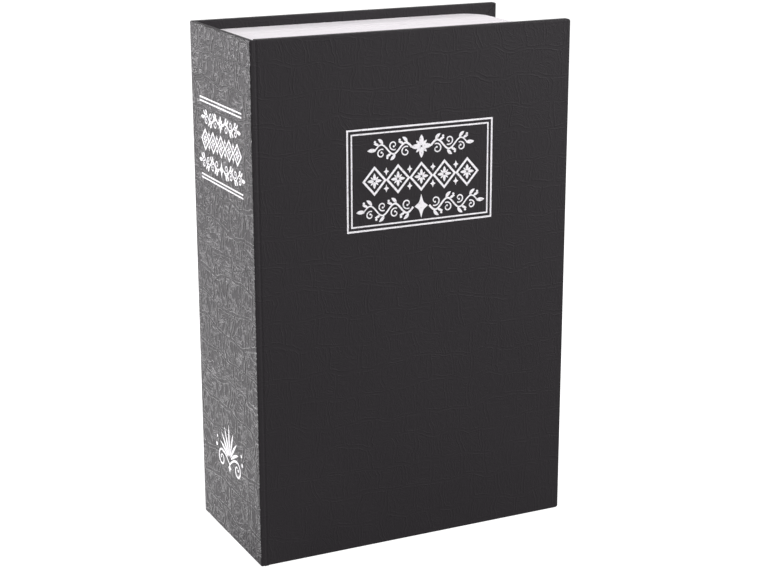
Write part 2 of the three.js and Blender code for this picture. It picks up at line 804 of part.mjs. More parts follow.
// The plug turns in the housing with its cam, washer and screw
function lockCore() {
  const headY1 = bezelY0 + plugHeadDepth;
  const round = toSolid(
    turnedY(
      [
        [0, bezelY0],
        [plugHeadRadius, bezelY0],
        [plugHeadRadius, headY1],
        [plugRadius, headY1],
        [plugRadius, tailY0],
        [0, tailY0],
      ],
      lockX,
      zMiddle,
      roundSegments,
    ),
  );
  const tail = blockSolid(
    lockX - tailHalfWidth,
    lockX + tailHalfWidth,
    tailY0 - overrun,
    tailY1,
    zMiddle - tailHalfWidth,
    zMiddle + tailHalfWidth,
  );
  const keyway = blockSolid(
    lockX - keywayWidth / 2,
    lockX + keywayWidth / 2,
    bezelY0 - overrun,
    bezelY0 + keywayDepth,
    zMiddle - keywayHeight / 2,
    zMiddle + keywayHeight / 2,
  );
  const screwHole = rodY(
    camScrewRadius + holeGap,
    lockX,
    zMiddle,
    tailY1 - camScrewLength - restGap,
    tailY1 + overrun,
    smallSegments,
  );
  const waferSlots = waferDepths.map((depth) =>
    blockSolid(
      lockX - waferWidth / 2 - holeGap,
      lockX + waferWidth / 2 + holeGap,
      bezelY0 + depth - holeGap,
      bezelY0 + depth + waferThickness + holeGap,
      zMiddle - plugRadius - overrun,
      zMiddle + plugRadius + overrun,
    ),
  );
  add('lock_plug', cut(round.add(tail), [keyway, screwHole, ...waferSlots]), 'brass', lockPivot);

  waferDepths.forEach((depth, i) => {
    const plate = blockSolid(
      lockX - waferWidth / 2,
      lockX + waferWidth / 2,
      bezelY0 + depth,
      bezelY0 + depth + waferThickness,
      zMiddle - waferHalfHeight,
      zMiddle + waferHalfHeight,
    );
    const window = blockSolid(
      lockX - waferWindowWidth / 2,
      lockX + waferWindowWidth / 2,
      bezelY0 + depth - overrun,
      bezelY0 + depth + waferThickness + overrun,
      zMiddle - keywayHeight / 2,
      zMiddle + keywayHeight / 2,
    );
    add(`lock_wafer_${i + 1}`, plate.subtract(window), 'brass', lockPivot);
  });

  const camShape = new THREE.Shape();
  const lean = Math.acos((camHubRadius - camTipRadius) / (camLength - camTipRadius));
  const tipZ = zMiddle + camLength - camTipRadius;
  const left = Math.PI / 2 + lean;
  const right = Math.PI / 2 - lean;
  camShape.absarc(lockX, zMiddle, camHubRadius, left, right + Math.PI * 2, false);
  camShape.absarc(lockX, tipZ, camTipRadius, right, left, false);
  const squareHalf = tailHalfWidth + holeGap;
  const squareHole = blockSolid(
    lockX - squareHalf,
    lockX + squareHalf,
    camY0 - overrun,
    camY1 + overrun,
    zMiddle - squareHalf,
    zMiddle + squareHalf,
  );
  add('lock_cam', prismY(camShape, camY0, camY1).subtract(squareHole), 'zinc', lockPivot);

  const washerHole = rodY(
    camScrewRadius + holeGap,
    lockX,
    zMiddle,
    washerY0 - overrun,
    washerY1 + overrun,
    smallSegments,
  );
  const washer = rodY(camWasherRadius, lockX, zMiddle, washerY0, washerY1, roundSegments);
  add('cam_washer', washer.subtract(washerHole), 'zinc', lockPivot);

  const crown = camScrewHeadHeight / 3;
  const screwHeadY1 = screwHeadY0 + camScrewHeadHeight;
  const screw = toSolid(
    turnedY(
      [
        [0, tailY1 - camScrewLength],
        [camScrewRadius, tailY1 - camScrewLength],
        [camScrewRadius, screwHeadY0],
        [camScrewHeadRadius, screwHeadY0],
        [camScrewHeadRadius, screwHeadY1 - crown],
        [camScrewHeadRadius - crown, screwHeadY1],
        [0, screwHeadY1],
      ],
      lockX,
      zMiddle,
      smallSegments,
    ),
  );
  const slotArm = (halfX, halfZ) =>
    blockSolid(
      lockX - halfX,
      lockX + halfX,
      screwHeadY1 - crossSlotDepth,
      screwHeadY1 + overrun,
      zMiddle - halfZ,
      zMiddle + halfZ,
    );
  const cross = [
    slotArm(crossSlotLength / 2, crossSlotWidth / 2),
    slotArm(crossSlotWidth / 2, crossSlotLength / 2),
  ];
  add('cam_screw', cut(screw, cross), 'zinc', lockPivot);
}

// Strike: an angle on the tub's wall that the cam turns behind
function strike() {
  const z0 = zMiddle - strikeLength / 2;
  const z1 = zMiddle + strikeLength / 2;
  const wallLeg = blockSolid(
    strikeX1 - strikeSheet,
    strikeX1,
    tubY0 + tubSheet + restGap,
    strikeY1,
    z0,
    z1,
  );
  const reachX0 = strikeX1 - strikeReach;
  const reachLeg = blockSolid(reachX0, strikeX1, strikeY1 - strikeSheet, strikeY1, z0, z1);
  const holes = strikeRivetLevels.map((z) =>
    rodX(
      rivetHoleRadius,
      strikeRivetY,
      z,
      strikeX1 - strikeSheet - overrun,
      strikeX1 + overrun,
      smallSegments,
    ),
  );
  add('lock_strike', cut(wallLeg.add(reachLeg), holes), 'zinc');
  strikeRivetLevels.forEach((z, i) => {
    const from = strikeX1 - strikeSheet - glueLine;
    const to = tubX1 + glueLine;
    add(`strike_rivet_${i + 1}`, rivetAcross(from, to, strikeRivetY, z), 'zinc');
  });
}

frontCover();
fixedCase();
pageFrame();
tub();
floorRivets();
pianoHinge();
lid();
lockCase();
lockCore();
strike();

export default safe;
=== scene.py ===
import random
from math import acos, cos, degrees, hypot, pi, radians, sin, sqrt

import bmesh
import bpy
from mathutils import Matrix, Vector, noise


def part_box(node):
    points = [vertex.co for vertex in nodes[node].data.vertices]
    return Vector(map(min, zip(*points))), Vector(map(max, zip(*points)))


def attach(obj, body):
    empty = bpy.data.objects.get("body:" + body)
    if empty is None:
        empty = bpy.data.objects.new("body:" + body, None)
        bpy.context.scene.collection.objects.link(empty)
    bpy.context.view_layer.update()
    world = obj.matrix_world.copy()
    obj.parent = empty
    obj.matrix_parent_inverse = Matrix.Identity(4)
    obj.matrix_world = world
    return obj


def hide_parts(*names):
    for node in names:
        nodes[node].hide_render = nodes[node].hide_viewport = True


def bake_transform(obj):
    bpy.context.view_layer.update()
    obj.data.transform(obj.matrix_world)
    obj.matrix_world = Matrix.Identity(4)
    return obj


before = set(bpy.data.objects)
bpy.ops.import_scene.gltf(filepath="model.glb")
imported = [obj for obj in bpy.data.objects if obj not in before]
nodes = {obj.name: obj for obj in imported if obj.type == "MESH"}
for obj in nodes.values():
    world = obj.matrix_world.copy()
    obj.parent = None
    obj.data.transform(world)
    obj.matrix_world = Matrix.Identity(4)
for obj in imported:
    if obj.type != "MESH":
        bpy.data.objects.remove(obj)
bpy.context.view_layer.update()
scene = bpy.context.scene
scene.view_settings.view_transform = "Standard"

# Sizes below are in millimetres, and to_object brings each shape to metres
MM = 0.001


def extent(node):
    """Lowest and highest corner of a CAD node, in millimetres."""
    low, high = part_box(node)
    return low / MM, high / MM


def between(start, stop, steps):
    """Equal steps from one value to another."""
    return [start + (stop - start) * (i / steps) for i in range(steps + 1)]


def shares(steps):
    """Equal steps from 0 to 1."""
    return between(0, 1, steps)


# Camera, fitted to the book's corners in the photograph
CAMERA_PLACE = (-262.0, -543.5, 257.6)
AZIMUTH, ELEVATION, ROLL = -25.83, 15.99, -0.13
SENSOR = 36.0
PHOTO_WIDTH = 768
FOCAL_PIXELS = 1762.5
CLIP_METRES = (0.01, 20)


def make_camera():
    data = bpy.data.cameras.new("camera")
    data.sensor_width = SENSOR
    data.lens = FOCAL_PIXELS / PHOTO_WIDTH * SENSOR
    data.clip_start, data.clip_end = CLIP_METRES
    camera = bpy.data.objects.new("camera", data)
    scene.collection.objects.link(camera)
    place = Matrix.Translation(Vector(CAMERA_PLACE) * MM)
    for angle, axis in ((AZIMUTH, "Z"), (90 - ELEVATION, "X"), (ROLL, "Z")):
        place @= Matrix.Rotation(radians(angle), 4, axis)
    camera.matrix_world = place
    scene.camera = camera


# Node helpers
def add(tree, kind, inputs=None, **settings):
    """Outputs of a new node. An input is a value or the output of another node."""
    made = tree.nodes.new("ShaderNode" + kind)
    for key, value in settings.items():
        setattr(made, key, value)
    for key, value in (inputs or {}).items():
        if isinstance(value, bpy.types.NodeSocket):
            tree.links.new(value, made.inputs[key])
        else:
            made.inputs[key].default_value = value
    return made.outputs


def after(kind, inputs, **settings):
    """Outputs of a new node in the tree that its inputs come from."""
    tree = next(value.id_data for value in inputs.values() if isinstance(value, bpy.types.NodeSocket))
    return add(tree, kind, inputs, **settings)


def calc(operation, *values, clamp=False):
    return after("Math", dict(enumerate(values)), operation=operation, use_clamp=clamp)[0]


def vector_calc(operation, *values, **named):
    return after("VectorMath", {**dict(enumerate(values)), **named}, operation=operation)[0]


def mix(factor, low, high):
    return after("Mix", {0: factor, 2: low, 3: high})[0]


def tint(factor, low, high):
    """A colour between two, each a socket or three values."""
    low, high = ((*colour, 1) if isinstance(colour, tuple) else colour for colour in (low, high))
    return after("Mix", {0: factor, 6: low, 7: high}, data_type="RGBA")[2]


def ramp(value, low, high, to_low=0.0, to_high=1.0):
    """Maps a value from one range to another, clamped, with soft ends."""
    inputs = {"Value": value, 1: low, 2: high, 3: to_low, 4: to_high}
    return after("MapRange", inputs, interpolation_type="SMOOTHSTEP")[0]


def noise_at(vector, size, detail=2.0, roughness=0.5, shift=(0, 0, 0), output="Fac"):
    """Noise with one feature size in millimetres for all directions, or one for each."""
    sizes = size if isinstance(size, tuple) else (size,) * 3
    scale = tuple(1 / s for s in sizes)
    placed = after("Mapping", {"Vector": vector, "Location": shift, "Scale": scale})[0]
    inputs = {"Vector": placed, "Scale": 1.0, "Detail": detail, "Roughness": roughness}
    return after("TexNoise", inputs)[output]


def ridge(value, reach):
    """1 where a value is a half, 0 at a distance from it."""
    return ramp(calc("ABSOLUTE", calc("SUBTRACT", value, 0.5)), reach, 0.0)


def millimetres(tree):
    """The piece's own coordinates in millimetres."""
    return vector_calc("SCALE", add(tree, "TexCoord")["Object"], Scale=1 / MM)


def coat(colour, roughness, height, depth, specular=0.5, metallic=0.0):
    """The surface, with a bump whose full range of height stands for a depth in millimetres."""
    bump = after("Bump", {"Height": height, "Distance": depth * MM})[0]
    inputs = {"Base Color": colour, "Roughness": roughness, "Normal": bump, "Metallic": metallic}
    inputs["Specular IOR Level"] = specular
    after("OutputMaterial", {"Surface": after("BsdfPrincipled", inputs)[0]})


def cleared(owner):
    """The emptied node tree of a material or a world."""
    owner.use_nodes = True
    owner.node_tree.nodes.clear()
    return owner.node_tree


# Materials
CELL_WIDTH, CELL_HEIGHT, CELL_BORDER = 11.0, 9.5, 1.25
CELL_WANDER, LINE_WANDER = (16, 1.0, 9.0), (3.4, 2.0, 1.5)
LINES, CRINKLE, GRAIN = 0.56, 0.38, 0.10
EMBOSS_DEPTH, FOIL_DEPTH = 0.80, 0.07
BOARD_PRESS = 0.09
SPINE_DRAW = 0.7
SPINE_SHIFT = 31.0
FACING = 0.7


def sheet_coordinates(tree):
    """Coordinates across and up the faces of the book case, and 1 where they face sideways."""
    x, y, z = after("SeparateXYZ", {0: millimetres(tree)})
    facing = after("SeparateXYZ", {0: add(tree, "TexCoord")["Normal"]})
    side, end = (calc("GREATER_THAN", calc("ABSOLUTE", facing[axis]), FACING) for axis in (0, 2))
    across = mix(side, x, calc("MULTIPLY", y, SPINE_DRAW))
    shift = calc("MULTIPLY", side, SPINE_SHIFT)
    return after("CombineXYZ", {0: across, 1: mix(end, z, y), 2: shift})[0], side


def wander(sheet, size, detail, reach):
    """A shift that wanders over a feature size, by up to half its reach."""
    source = noise_at(sheet, (size, size, 1), detail, output="Color")
    return vector_calc("SCALE", vector_calc("SUBTRACT", source, (0.5,) * 3), Scale=reach)


def emboss(sheet):
    """Height of the embossing: wandering cells with double lines, crinkles and grain."""
    shift = vector_calc("ADD", wander(sheet, *CELL_WANDER), wander(sheet, *LINE_WANDER))
    warped = vector_calc("ADD", sheet, shift)
    cells = {"Vector": warped, "Scale": 1.0, "Brick Width": CELL_WIDTH, "Row Height": CELL_HEIGHT}
    cells.update({"Mortar Size": CELL_BORDER, "Mortar Smooth": 1.0})
    edge = after("TexBrick", cells, offset=0.43, squash=0.8, squash_frequency=3)["Fac"]
    lines = ridge(edge, 0.36)
    patches = ramp(noise_at(sheet, (7, 6, 1), shift=(3, 7, 0)), 0.32, 0.52, 0.25, 1.0)

    creases = []
    for size, place in (((1.9, 8.5, 1), (0, 0, 0)), ((8.0, 1.3, 1), (11, 0, 0))):
        creases.append(ridge(noise_at(warped, size, roughness=0.6, shift=place), 0.10))
    laid = ramp(noise_at(sheet, (8, 8, 1), shift=(0, 5, 0)), 0.50, 0.58)
    inside = calc("SUBTRACT", 1.0, calc("MULTIPLY", edge, 0.7))
    crinkle = calc("MULTIPLY", mix(laid, *creases), inside)

    height = calc("MULTIPLY", calc("MULTIPLY", lines, patches), LINES)
    height = calc("MULTIPLY_ADD", crinkle, CRINKLE, height)
    return calc("MULTIPLY_ADD", noise_at(sheet, 0.55), GRAIN, height)


def cover_paper(tree):
    """Embossed paper. The embossing stands high on the spine and is pressed down on the boards."""
    sheet, side = sheet_coordinates(tree)
    pressed = calc("MULTIPLY_ADD", side, 1 - BOARD_PRESS, BOARD_PRESS)
    height = calc("MULTIPLY", emboss(sheet), pressed)
    dark = tint(noise_at(sheet, (40, 40, 1)), (0.0125, 0.0105, 0.0125), (0.0160, 0.0137, 0.0160))
    colour = tint(ramp(height, 0.1, 0.75), dark, (0.022, 0.0193, 0.022))
    specular = ramp(height, 0.04, 0.65, 0.28, 0.70)
    coat(colour, ramp(height, 0.0, 0.8, 0.60, 0.31), height, EMBOSS_DEPTH, specular)


def foil(tree):
    sheet, _ = sheet_coordinates(tree)
    flecks = noise_at(sheet, 0.8, detail=3.0, roughness=0.7)
    worn = ramp(flecks, 0.34, 0.46, 1.0, 0.0)
    colour = tint(worn, (0.90, 0.895, 0.91), (0.56, 0.55, 0.56))
    coat(colour, ramp(flecks, 0.3, 0.7, 0.48, 0.34), emboss(sheet), FOIL_DEPTH, metallic=0.08)


def grey_board(tree):
    position = millimetres(tree)
    layers = noise_at(position, (9, 0.25, 9), detail=3.0)
    specks = noise_at(position, 0.5)
    base = tint(layers, (0.30, 0.27, 0.23), (0.20, 0.18, 0.155))
    coat(tint(ramp(specks, 0.6, 0.7), base, (0.1, 0.09, 0.08)), 0.95, specks, 0.08)


def endpaper(tree):
    position = millimetres(tree)
    fibres = noise_at(position, (0.5, 0.5, 1.6), detail=3.0, roughness=0.65)
    base = tint(noise_at(position, 22), (0.74, 0.725, 0.69), (0.69, 0.672, 0.635))
    coat(tint(ramp(fibres, 0.6, 0.75), base, (0.62, 0.6, 0.56)), 0.85, fibres, 0.03)


def page_moulding(tree):
    """White plastic with the fine lines of leaves, in bundles through the thickness."""
    position = millimetres(tree)
    leaves = noise_at(position, (60, 0.30, 60), detail=3.0, roughness=0.6)
    bundles = noise_at(position, (45, 2.2, 45))
    specks = noise_at(position, 0.6)
    base = tint(ramp(bundles, 0.3, 0.7), (0.86, 0.842, 0.855), (0.82, 0.803, 0.815))
    colour = tint(ramp(leaves, 0.42, 0.30), base, (0.69, 0.676, 0.685))
    height = calc("MULTIPLY_ADD", specks, 0.15, leaves)
    coat(colour, ramp(specks, 0.3, 0.7, 0.62, 0.74), height, 0.05, specular=0.2)


def enamelled_steel(tree):
    position = millimetres(tree)
    peel = noise_at(position, 1.1)
    fine = noise_at(position, 0.35, detail=1.0)
    colour = tint(noise_at(position, 30), (0.021, 0.022, 0.023), (0.028, 0.029, 0.031))
    height = calc("MULTIPLY_ADD", fine, 0.35, peel)
    coat(colour, ramp(peel, 0.3, 0.7, 0.34, 0.46), height, 0.05)


def plated(tree, bright, dull, roughness, grain, depth):
    """A plated metal with fine streaks and clouded plating."""
    position = millimetres(tree)
    streaks = noise_at(position, grain, detail=3.0, roughness=0.6)
    cloud = noise_at(position, 5, detail=3.0)
    polish = ramp(streaks, 0.25, 0.75, roughness * 0.75, roughness * 1.25)
    coat(tint(ramp(cloud, 0.35, 0.7), bright, dull), polish, streaks, depth, metallic=1.0)


PLATINGS = {
    "zinc_plate": ((0.66, 0.67, 0.68), (0.56, 0.57, 0.59), 0.34, (0.3, 0.3, 5), 0.006),
    "lock_chrome": ((0.70, 0.70, 0.71), (0.64, 0.64, 0.65), 0.14, (0.2, 0.2, 0.2), 0.004),
    "lock_brass": ((0.66, 0.50, 0.24), (0.55, 0.40, 0.18), 0.28, (0.25, 0.25, 2), 0.01),
}


def make_material(name, draw, *values):
    """A material whose nodes are drawn by a function."""
    material = bpy.data.materials.new(name)
    draw(cleared(material), *values)
    return material


def make_looks():
    makers = (cover_paper, foil, grey_board, endpaper, page_moulding, enamelled_steel)
    made = {maker.__name__: make_material(maker.__name__, maker) for maker in makers}
    made.update({name: make_material(name, plated, *values) for name, values in PLATINGS.items()})
    return made


# Mesh helpers, all in millimetres
AXES = {"x": (1, 2, 0), "y": (0, 2, 1), "z": (0, 1, 2)}
PAST = 1.0
WELD = 0.002


def to_object(bm):
    """A mesh object in metres from a bmesh drawn in millimetres."""
    bmesh.ops.recalc_face_normals(bm, faces=bm.faces)
    bmesh.ops.scale(bm, vec=(MM, MM, MM), verts=bm.verts)
    mesh = bpy.data.meshes.new("part")
    bm.to_mesh(mesh)
    bm.free()
    made = bpy.data.objects.new("part", mesh)
    scene.collection.objects.link(made)
    return made


def modify(piece, kind, **settings):
    """Adds a modifier to the piece and applies it."""
    modifier = piece.modifiers.new("step", kind)
    for key, value in settings.items():
        setattr(modifier, key, value)
    depsgraph = bpy.context.evaluated_depsgraph_get()
    mesh = bpy.data.meshes.new_from_object(piece.evaluated_get(depsgraph), depsgraph=depsgraph)
    piece.modifiers.clear()
    old = piece.data
    piece.data = mesh
    bpy.data.meshes.remove(old)
    mesh.name = piece.name
    return piece


def combine(piece, others, operation="DIFFERENCE"):
    for other in others:
        modify(piece, "BOOLEAN", operation=operation, solver="EXACT", object=other)
        bpy.data.objects.remove(other)
    return piece


def skin(bm, rings):
    """Adds a closed body through rings of equal count."""
    made = [[bm.verts.new(point) for point in ring] for ring in rings]
    bm.faces.new(made[0])
    bm.faces.new(made[-1][::-1])
    for low, high in zip(made, made[1:]):
        for i in range(len(low)):
            j = (i + 1) % len(low)
            bm.faces.new((low[i], low[j], high[j], high[i]))


def loft(rings):
    bm = bmesh.new()
    skin(bm, rings)
    return to_object(bm)


def spot(axis, u, v, level):
    """A point from its level along an axis and the two other coordinates."""
    return {"x": (level, u, v), "y": (u, level, v), "z": (u, v, level)}[axis]


def prism(outline, axis, low, high):
    """An outline in the two other axes, carried along one axis."""
    return loft([[spot(axis, u, v, level) for u, v in outline] for level in (low, high)])


def rectangle(u0, u1, v0, v1):
    return [(u0, v0), (u1, v0), (u1, v1), (u0, v1)]


def block(x0, x1, y0, y1, z0, z1):
    return prism(rectangle(x0, x1, y0, y1), "z", z0, z1)


def arc(u, v, radius, start, stop, steps, upward=None):
    """Points on a round stretch between angles in degrees, oval where a radius upward is given."""
    upward = upward or radius
    angles = [radians(angle) for angle in between(start, stop, steps)]
    return [(u + radius * cos(a), v + upward * sin(a)) for a in angles]


def rounded(u0, u1, v0, v1, radii, steps=8):
    """A rectangle with a radius for each corner, from low u low v on by high u low v."""
    corners = ((u0, v0, 1, 1, 180), (u1, v0, -1, 1, 270), (u1, v1, -1, -1, 0), (u0, v1, 1, -1, 90))
    points = []
    for (u, v, du, dv, start), r in zip(corners, radii):
        points += arc(u + du * r, v + dv * r, r, start, start + 90, steps) if r else [(u, v)]
    return points


def turned(profile, axis, centre, steps):
    """A round body from radii and levels along an axis. A profile that starts off the axis is closed."""
    bm = bmesh.new()
    rings = []
    for radius, level in profile:
        around = arc(*centre, radius, 0, 360, steps)[:-1] if radius > WELD else [centre]
        rings.append([bm.verts.new(spot(axis, u, v, level)) for u, v in around])
    followers = rings[1:] + (rings[:1] if profile[0][0] > WELD else [])
    for low, high in zip(rings, followers):
        for i in range(steps):
            j = (i + 1) % steps
            corners = [low[i % len(low)], low[j % len(low)], high[j % len(high)], high[i % len(high)]]
            bm.faces.new(list(dict.fromkeys(corners)))
    return to_object(bm)


def both_ends(end, low, high):
    """A profile with the same end at both levels, given as radii and heights."""
    return [(r, low + h) for r, h in end] + [(r, high - h) for r, h in reversed(end)]


def disc(radius, low, high):
    """Profile of a plain round body."""
    return both_ends([(0, 0), (radius, 0)], low, high)


def soften(piece, width, segments=2, angle=30):
    """Rounds the piece's edges."""
    limit = {"limit_method": "ANGLE", "angle_limit": radians(angle), "use_clamp_overlap": True}
    return modify(piece, "BEVEL", width=width * MM, segments=segments, **limit)


def tidy(piece, angle=0.5):
    """Joins flat faces and doubled points that cuts leave."""
    bm = bmesh.new()
    bm.from_mesh(piece.data)
    bmesh.ops.remove_doubles(bm, verts=bm.verts, dist=WELD * MM)
    limit = radians(angle)
    bmesh.ops.dissolve_limit(bm, angle_limit=limit, verts=bm.verts, edges=bm.edges, delimit={"NORMAL"})
    bm.to_mesh(piece.data)
    bm.free()
    return piece


def join(first, *others):
    """Joins separate closed bodies into one object."""
    bm = bmesh.new()
    for piece in (first, *others):
        bm.from_mesh(piece.data)
    bm.to_mesh(first.data)
    bm.free()
    for piece in others:
        bpy.data.objects.remove(piece)
    return first


def dress(piece, name, body, slot, *replaced, look=None, sharp=35):
    """Shades a finished piece, gives it its slot's look or its own, and joins it to its body."""
    piece.name = name
    piece.data.shade_smooth()
    piece.data.set_sharp_from_angle(angle=radians(sharp))
    modify(piece, "WEIGHTED_NORMAL", keep_sharp=True)
    give(piece, look or slot)
    if body:
        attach(piece, body)
    if replaced:
        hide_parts(*replaced)


def give(piece, look):
    piece.data.materials.clear()
    piece.data.materials.append(looks[look])


# Sizes taken from the frame
case_low, case_high = extent("case_wrap")
front_low, front_high = extent("front_wrap")
lining_low, lining_high = extent("front_endpaper")
pages_low, pages_high = extent("page_frame")
tub_low, tub_high = extent("tub")
lid_low, lid_high = extent("lid")
pin_low, pin_high = extent("hinge_pin")
lock_low, lock_high = extent("lock_housing")
HEIGHT = case_high.z
PAST_ENDS = (-PAST, HEIGHT + PAST)
X_BOARD = extent("front_board")[0].x
X_CARD_INNER = extent("spine_card")[1].x

# Book case
PAPER = 0.3
PAPER_GAP = 0.05
TURN_IN = 13.0
EDGE_ROUND, CORNER_ROUND = 0.55, 0.9
X_JOINT = X_CARD_INNER + PAPER_GAP
JOINT_STEP, JOINT_DIP, JOINT_INSET = 0.35, 0.10, 0.02
FLAP_REACH = 9.0
CARD_FIT = 0.03
SLIT_WIDTH, SLIT_REACH, SLIT_DEPTH = 0.14, 26.0, 0.16
LINING, LINING_GAP = 0.2, 0.1
LINING_BEND, LINING_DEPTH, LINING_OFF_BOARD = 0.35, 2.55, 0.06
LINING_COLUMNS = (-50, -40, -20, 0, 20, 40)


def corner_slits(x, y0, y1):
    """Slits on the diagonals of the turn-in corners at tail and head."""
    slits = []
    for z, lean in ((0, -45), (HEIGHT, -135)):
        slit = block(-SLIT_WIDTH / 2, SLIT_WIDTH / 2, y0, y1, -PAST, SLIT_REACH)
        place = Matrix.Translation(Vector((x, 0, z)) * MM)
        slit.data.transform(place @ Matrix.Rotation(radians(lean), 4, "Y"))
        slits.append(slit)
    return slits


def front_cover():
    """Paper wrapped round the front board, with ears over the board's ends at the joint."""
    x0, x1, y0, y1 = X_BOARD, front_high.x, front_low.y, front_high.y
    radii = (0, CORNER_ROUND, CORNER_ROUND, 0)
    slab = prism(rounded(x0 - 2 * PAST, x1, 0, HEIGHT, radii), "y", y0, y1)
    soften(slab, EDGE_ROUND, 4)
    board = rounded(x0, x1 - PAPER, PAPER, HEIGHT - PAPER, radii)
    lined = (lining_low.z - LINING_GAP, lining_high.z + LINING_GAP)
    cuts = [
        block(x0 - 3 * PAST, x0 - PAPER, y0 - PAST, y1 + PAST, *PAST_ENDS),
        block(x0 - PAST, x0, y0 - PAST, y0 + JOINT_STEP, *PAST_ENDS),
        block(x0 - PAST, x0, y0 - PAST, y1 + PAST, *lined),
        prism(board, "y", y0 + PAPER, y1 - PAPER),
        block(x0 - PAST, x1 - TURN_IN, y1 - PAPER - PAST, y1 + PAST, TURN_IN, HEIGHT - TURN_IN),
    ]
    combine(slab, cuts + corner_slits(x1, y1 - SLIT_DEPTH, y1 + PAST))
    dress(slab, "front_cover", "cover", "cover_paper", "front_wrap")


def case():
    """Paper over the spine and the back cover, open between its turn-ins."""
    x0, x1, y0, y1 = case_low.x, case_high.x, case_low.y, case_high.y
    inner_x, inner_y = pages_low.x - PAPER_GAP, pages_high.y + PAPER_GAP
    outline = [(x0, y0), (inner_x + PAST, y0), (inner_x + PAST, y0 + PAST), (inner_x, y0 + PAST)]
    outline += [(inner_x, inner_y), (x1, inner_y), (x1, y1), (x0, y1)]
    shell = prism(outline, "z", 0, HEIGHT)
    soften(shell, EDGE_ROUND, 4)
    flap = x0 + FLAP_REACH
    wrapped = (y1 - PAPER, PAPER, HEIGHT - PAPER)
    rim = PAPER + LINING_GAP
    opened = (TURN_IN, HEIGHT - TURN_IN)
    cuts = [
        block(X_JOINT, flap, y0 - PAST, y0 + JOINT_STEP, *PAST_ENDS),
        block(inner_x, flap, y0 - PAST, y0 + 2 * PAST, *PAST_ENDS),
        block(x0 + PAPER, X_CARD_INNER + CARD_FIT, y0 + PAPER, *wrapped),
        block(X_CARD_INNER, x1 - PAPER, inner_y + PAPER, *wrapped),
        block(x0 + PAPER, inner_x + PAST, y0 + rim, y1 - rim, *opened),
        block(x0 + PAPER, x1 - TURN_IN, inner_y - PAST, inner_y + PAPER + PAST, *opened),
    ]
    combine(shell, cuts + corner_slits(x1, inner_y - PAST, inner_y + SLIT_DEPTH))
    dress(shell, "case_cover", "book", "cover_paper", "case_wrap")


def ribbon(path, thickness, z0, z1, rows):
    """A sheet along a path in X and Y, with its back face to the path's left."""
    levels = between(z0, z1, rows)
    rings = []
    for i, (x, y) in enumerate(path):
        (ax, ay), (bx, by) = path[max(i - 1, 0)], path[min(i + 1, len(path) - 1)]
        reach = thickness / hypot(bx - ax, by - ay)
        back = (x - (by - ay) * reach, y + (bx - ax) * reach)
        rings.append([(x, y, z) for z in levels] + [(*back, z) for z in reversed(levels)])
    return loft(rings)


def joint():
    """The paper that bends between spine and cover."""
    x0, x1, y = X_JOINT, X_BOARD, front_low.y
    path = [(x0 + (x1 - x0) * t, y + JOINT_DIP * sin(pi * t) ** 2) for t in shares(26)]
    strip = ribbon(path, PAPER - JOINT_DIP, JOINT_INSET, HEIGHT - JOINT_INSET, 24)
    dress(strip, "joint_paper", None, "cover_paper")
    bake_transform(strip)


def lining():
    """The endpaper on the turn-ins, bent round the board's edge at the joint."""
    x1, y0 = lining_high.x, lining_low.y
    x_edge = X_BOARD - LINING_OFF_BOARD
    path = [(x_edge, y0 - LINING_DEPTH)]
    path += arc(x_edge + LINING_BEND, y0 - LINING_BEND, LINING_BEND, 180, 90, 6)
    path += [(x, y0) for x in (*LINING_COLUMNS, x1 - PAPER, x1)]
    flat = ribbon(path, LINING, lining_low.z, lining_high.z, 12)
    dress(flat, "front_lining", "cover", "endpaper", "front_endpaper")


# Page block
FRAME_WALL = 1.8
FORE_RADIUS, SPINE_RADIUS, RIM_RADIUS, LAYER_RADIUS = 8.5, 0.8, 0.4, 0.7
COLLAR_WALL, COLLAR_DEPTH = 1.5, 10.0
RIB, RIB_SINK = 1.5, 0.9
FLANGE_Y0, FLANGE_Y1 = 20.55, 22.35
FLANGE_WIDTH = 10.0
MOUTH_GAP, MOUTH_ROUND, MOUTH_FLARE = 0.8, 1.2, 0.35
MOUTH_LOW = Vector((-50.35, 0, lid_low.z - MOUTH_GAP))
MOUTH_HIGH = Vector((lid_high.x + MOUTH_GAP, 0, lid_high.z + MOUTH_GAP))
PAGE_PITCH, LAST_PAGE = 0.31, 0.7
SMOOTH_RIM = (0.0, 0.012, 0.05, 0.11, 0.2, 0.32)
DEEP_LINE, PALE_LINE, BUNDLE_LINE = (0.05, 0.10), (0.0, 0.025), 0.06
BUNDLE, BUNDLE_MIDDLE = 18, 9
WANDER_ALONG, WANDER_THROUGH, WANDER_SHARE = 24, 1.7, 0.6


def fall(radius, depth):
    """How far a rounded edge falls back at a depth below its face."""
    return 0.0 if depth >= radius else radius - sqrt(radius**2 - (radius - depth) ** 2)


def page_levels(thickness):
    """Levels through the page block, with the depth of the line at each."""
    levels = [(rim, 0.0) for rim in SMOOTH_RIM]
    y, i = SMOOTH_RIM[-1], 0
    while y < thickness - LAST_PAGE:
        y += PAGE_PITCH
        i += 1
        line = random.uniform(*(DEEP_LINE if i % 2 else PALE_LINE))
        levels.append((y, line + BUNDLE_LINE if i % BUNDLE == BUNDLE_MIDDLE else line))
    return levels + [(thickness - rim, 0.0) for rim in reversed(SMOOTH_RIM)]


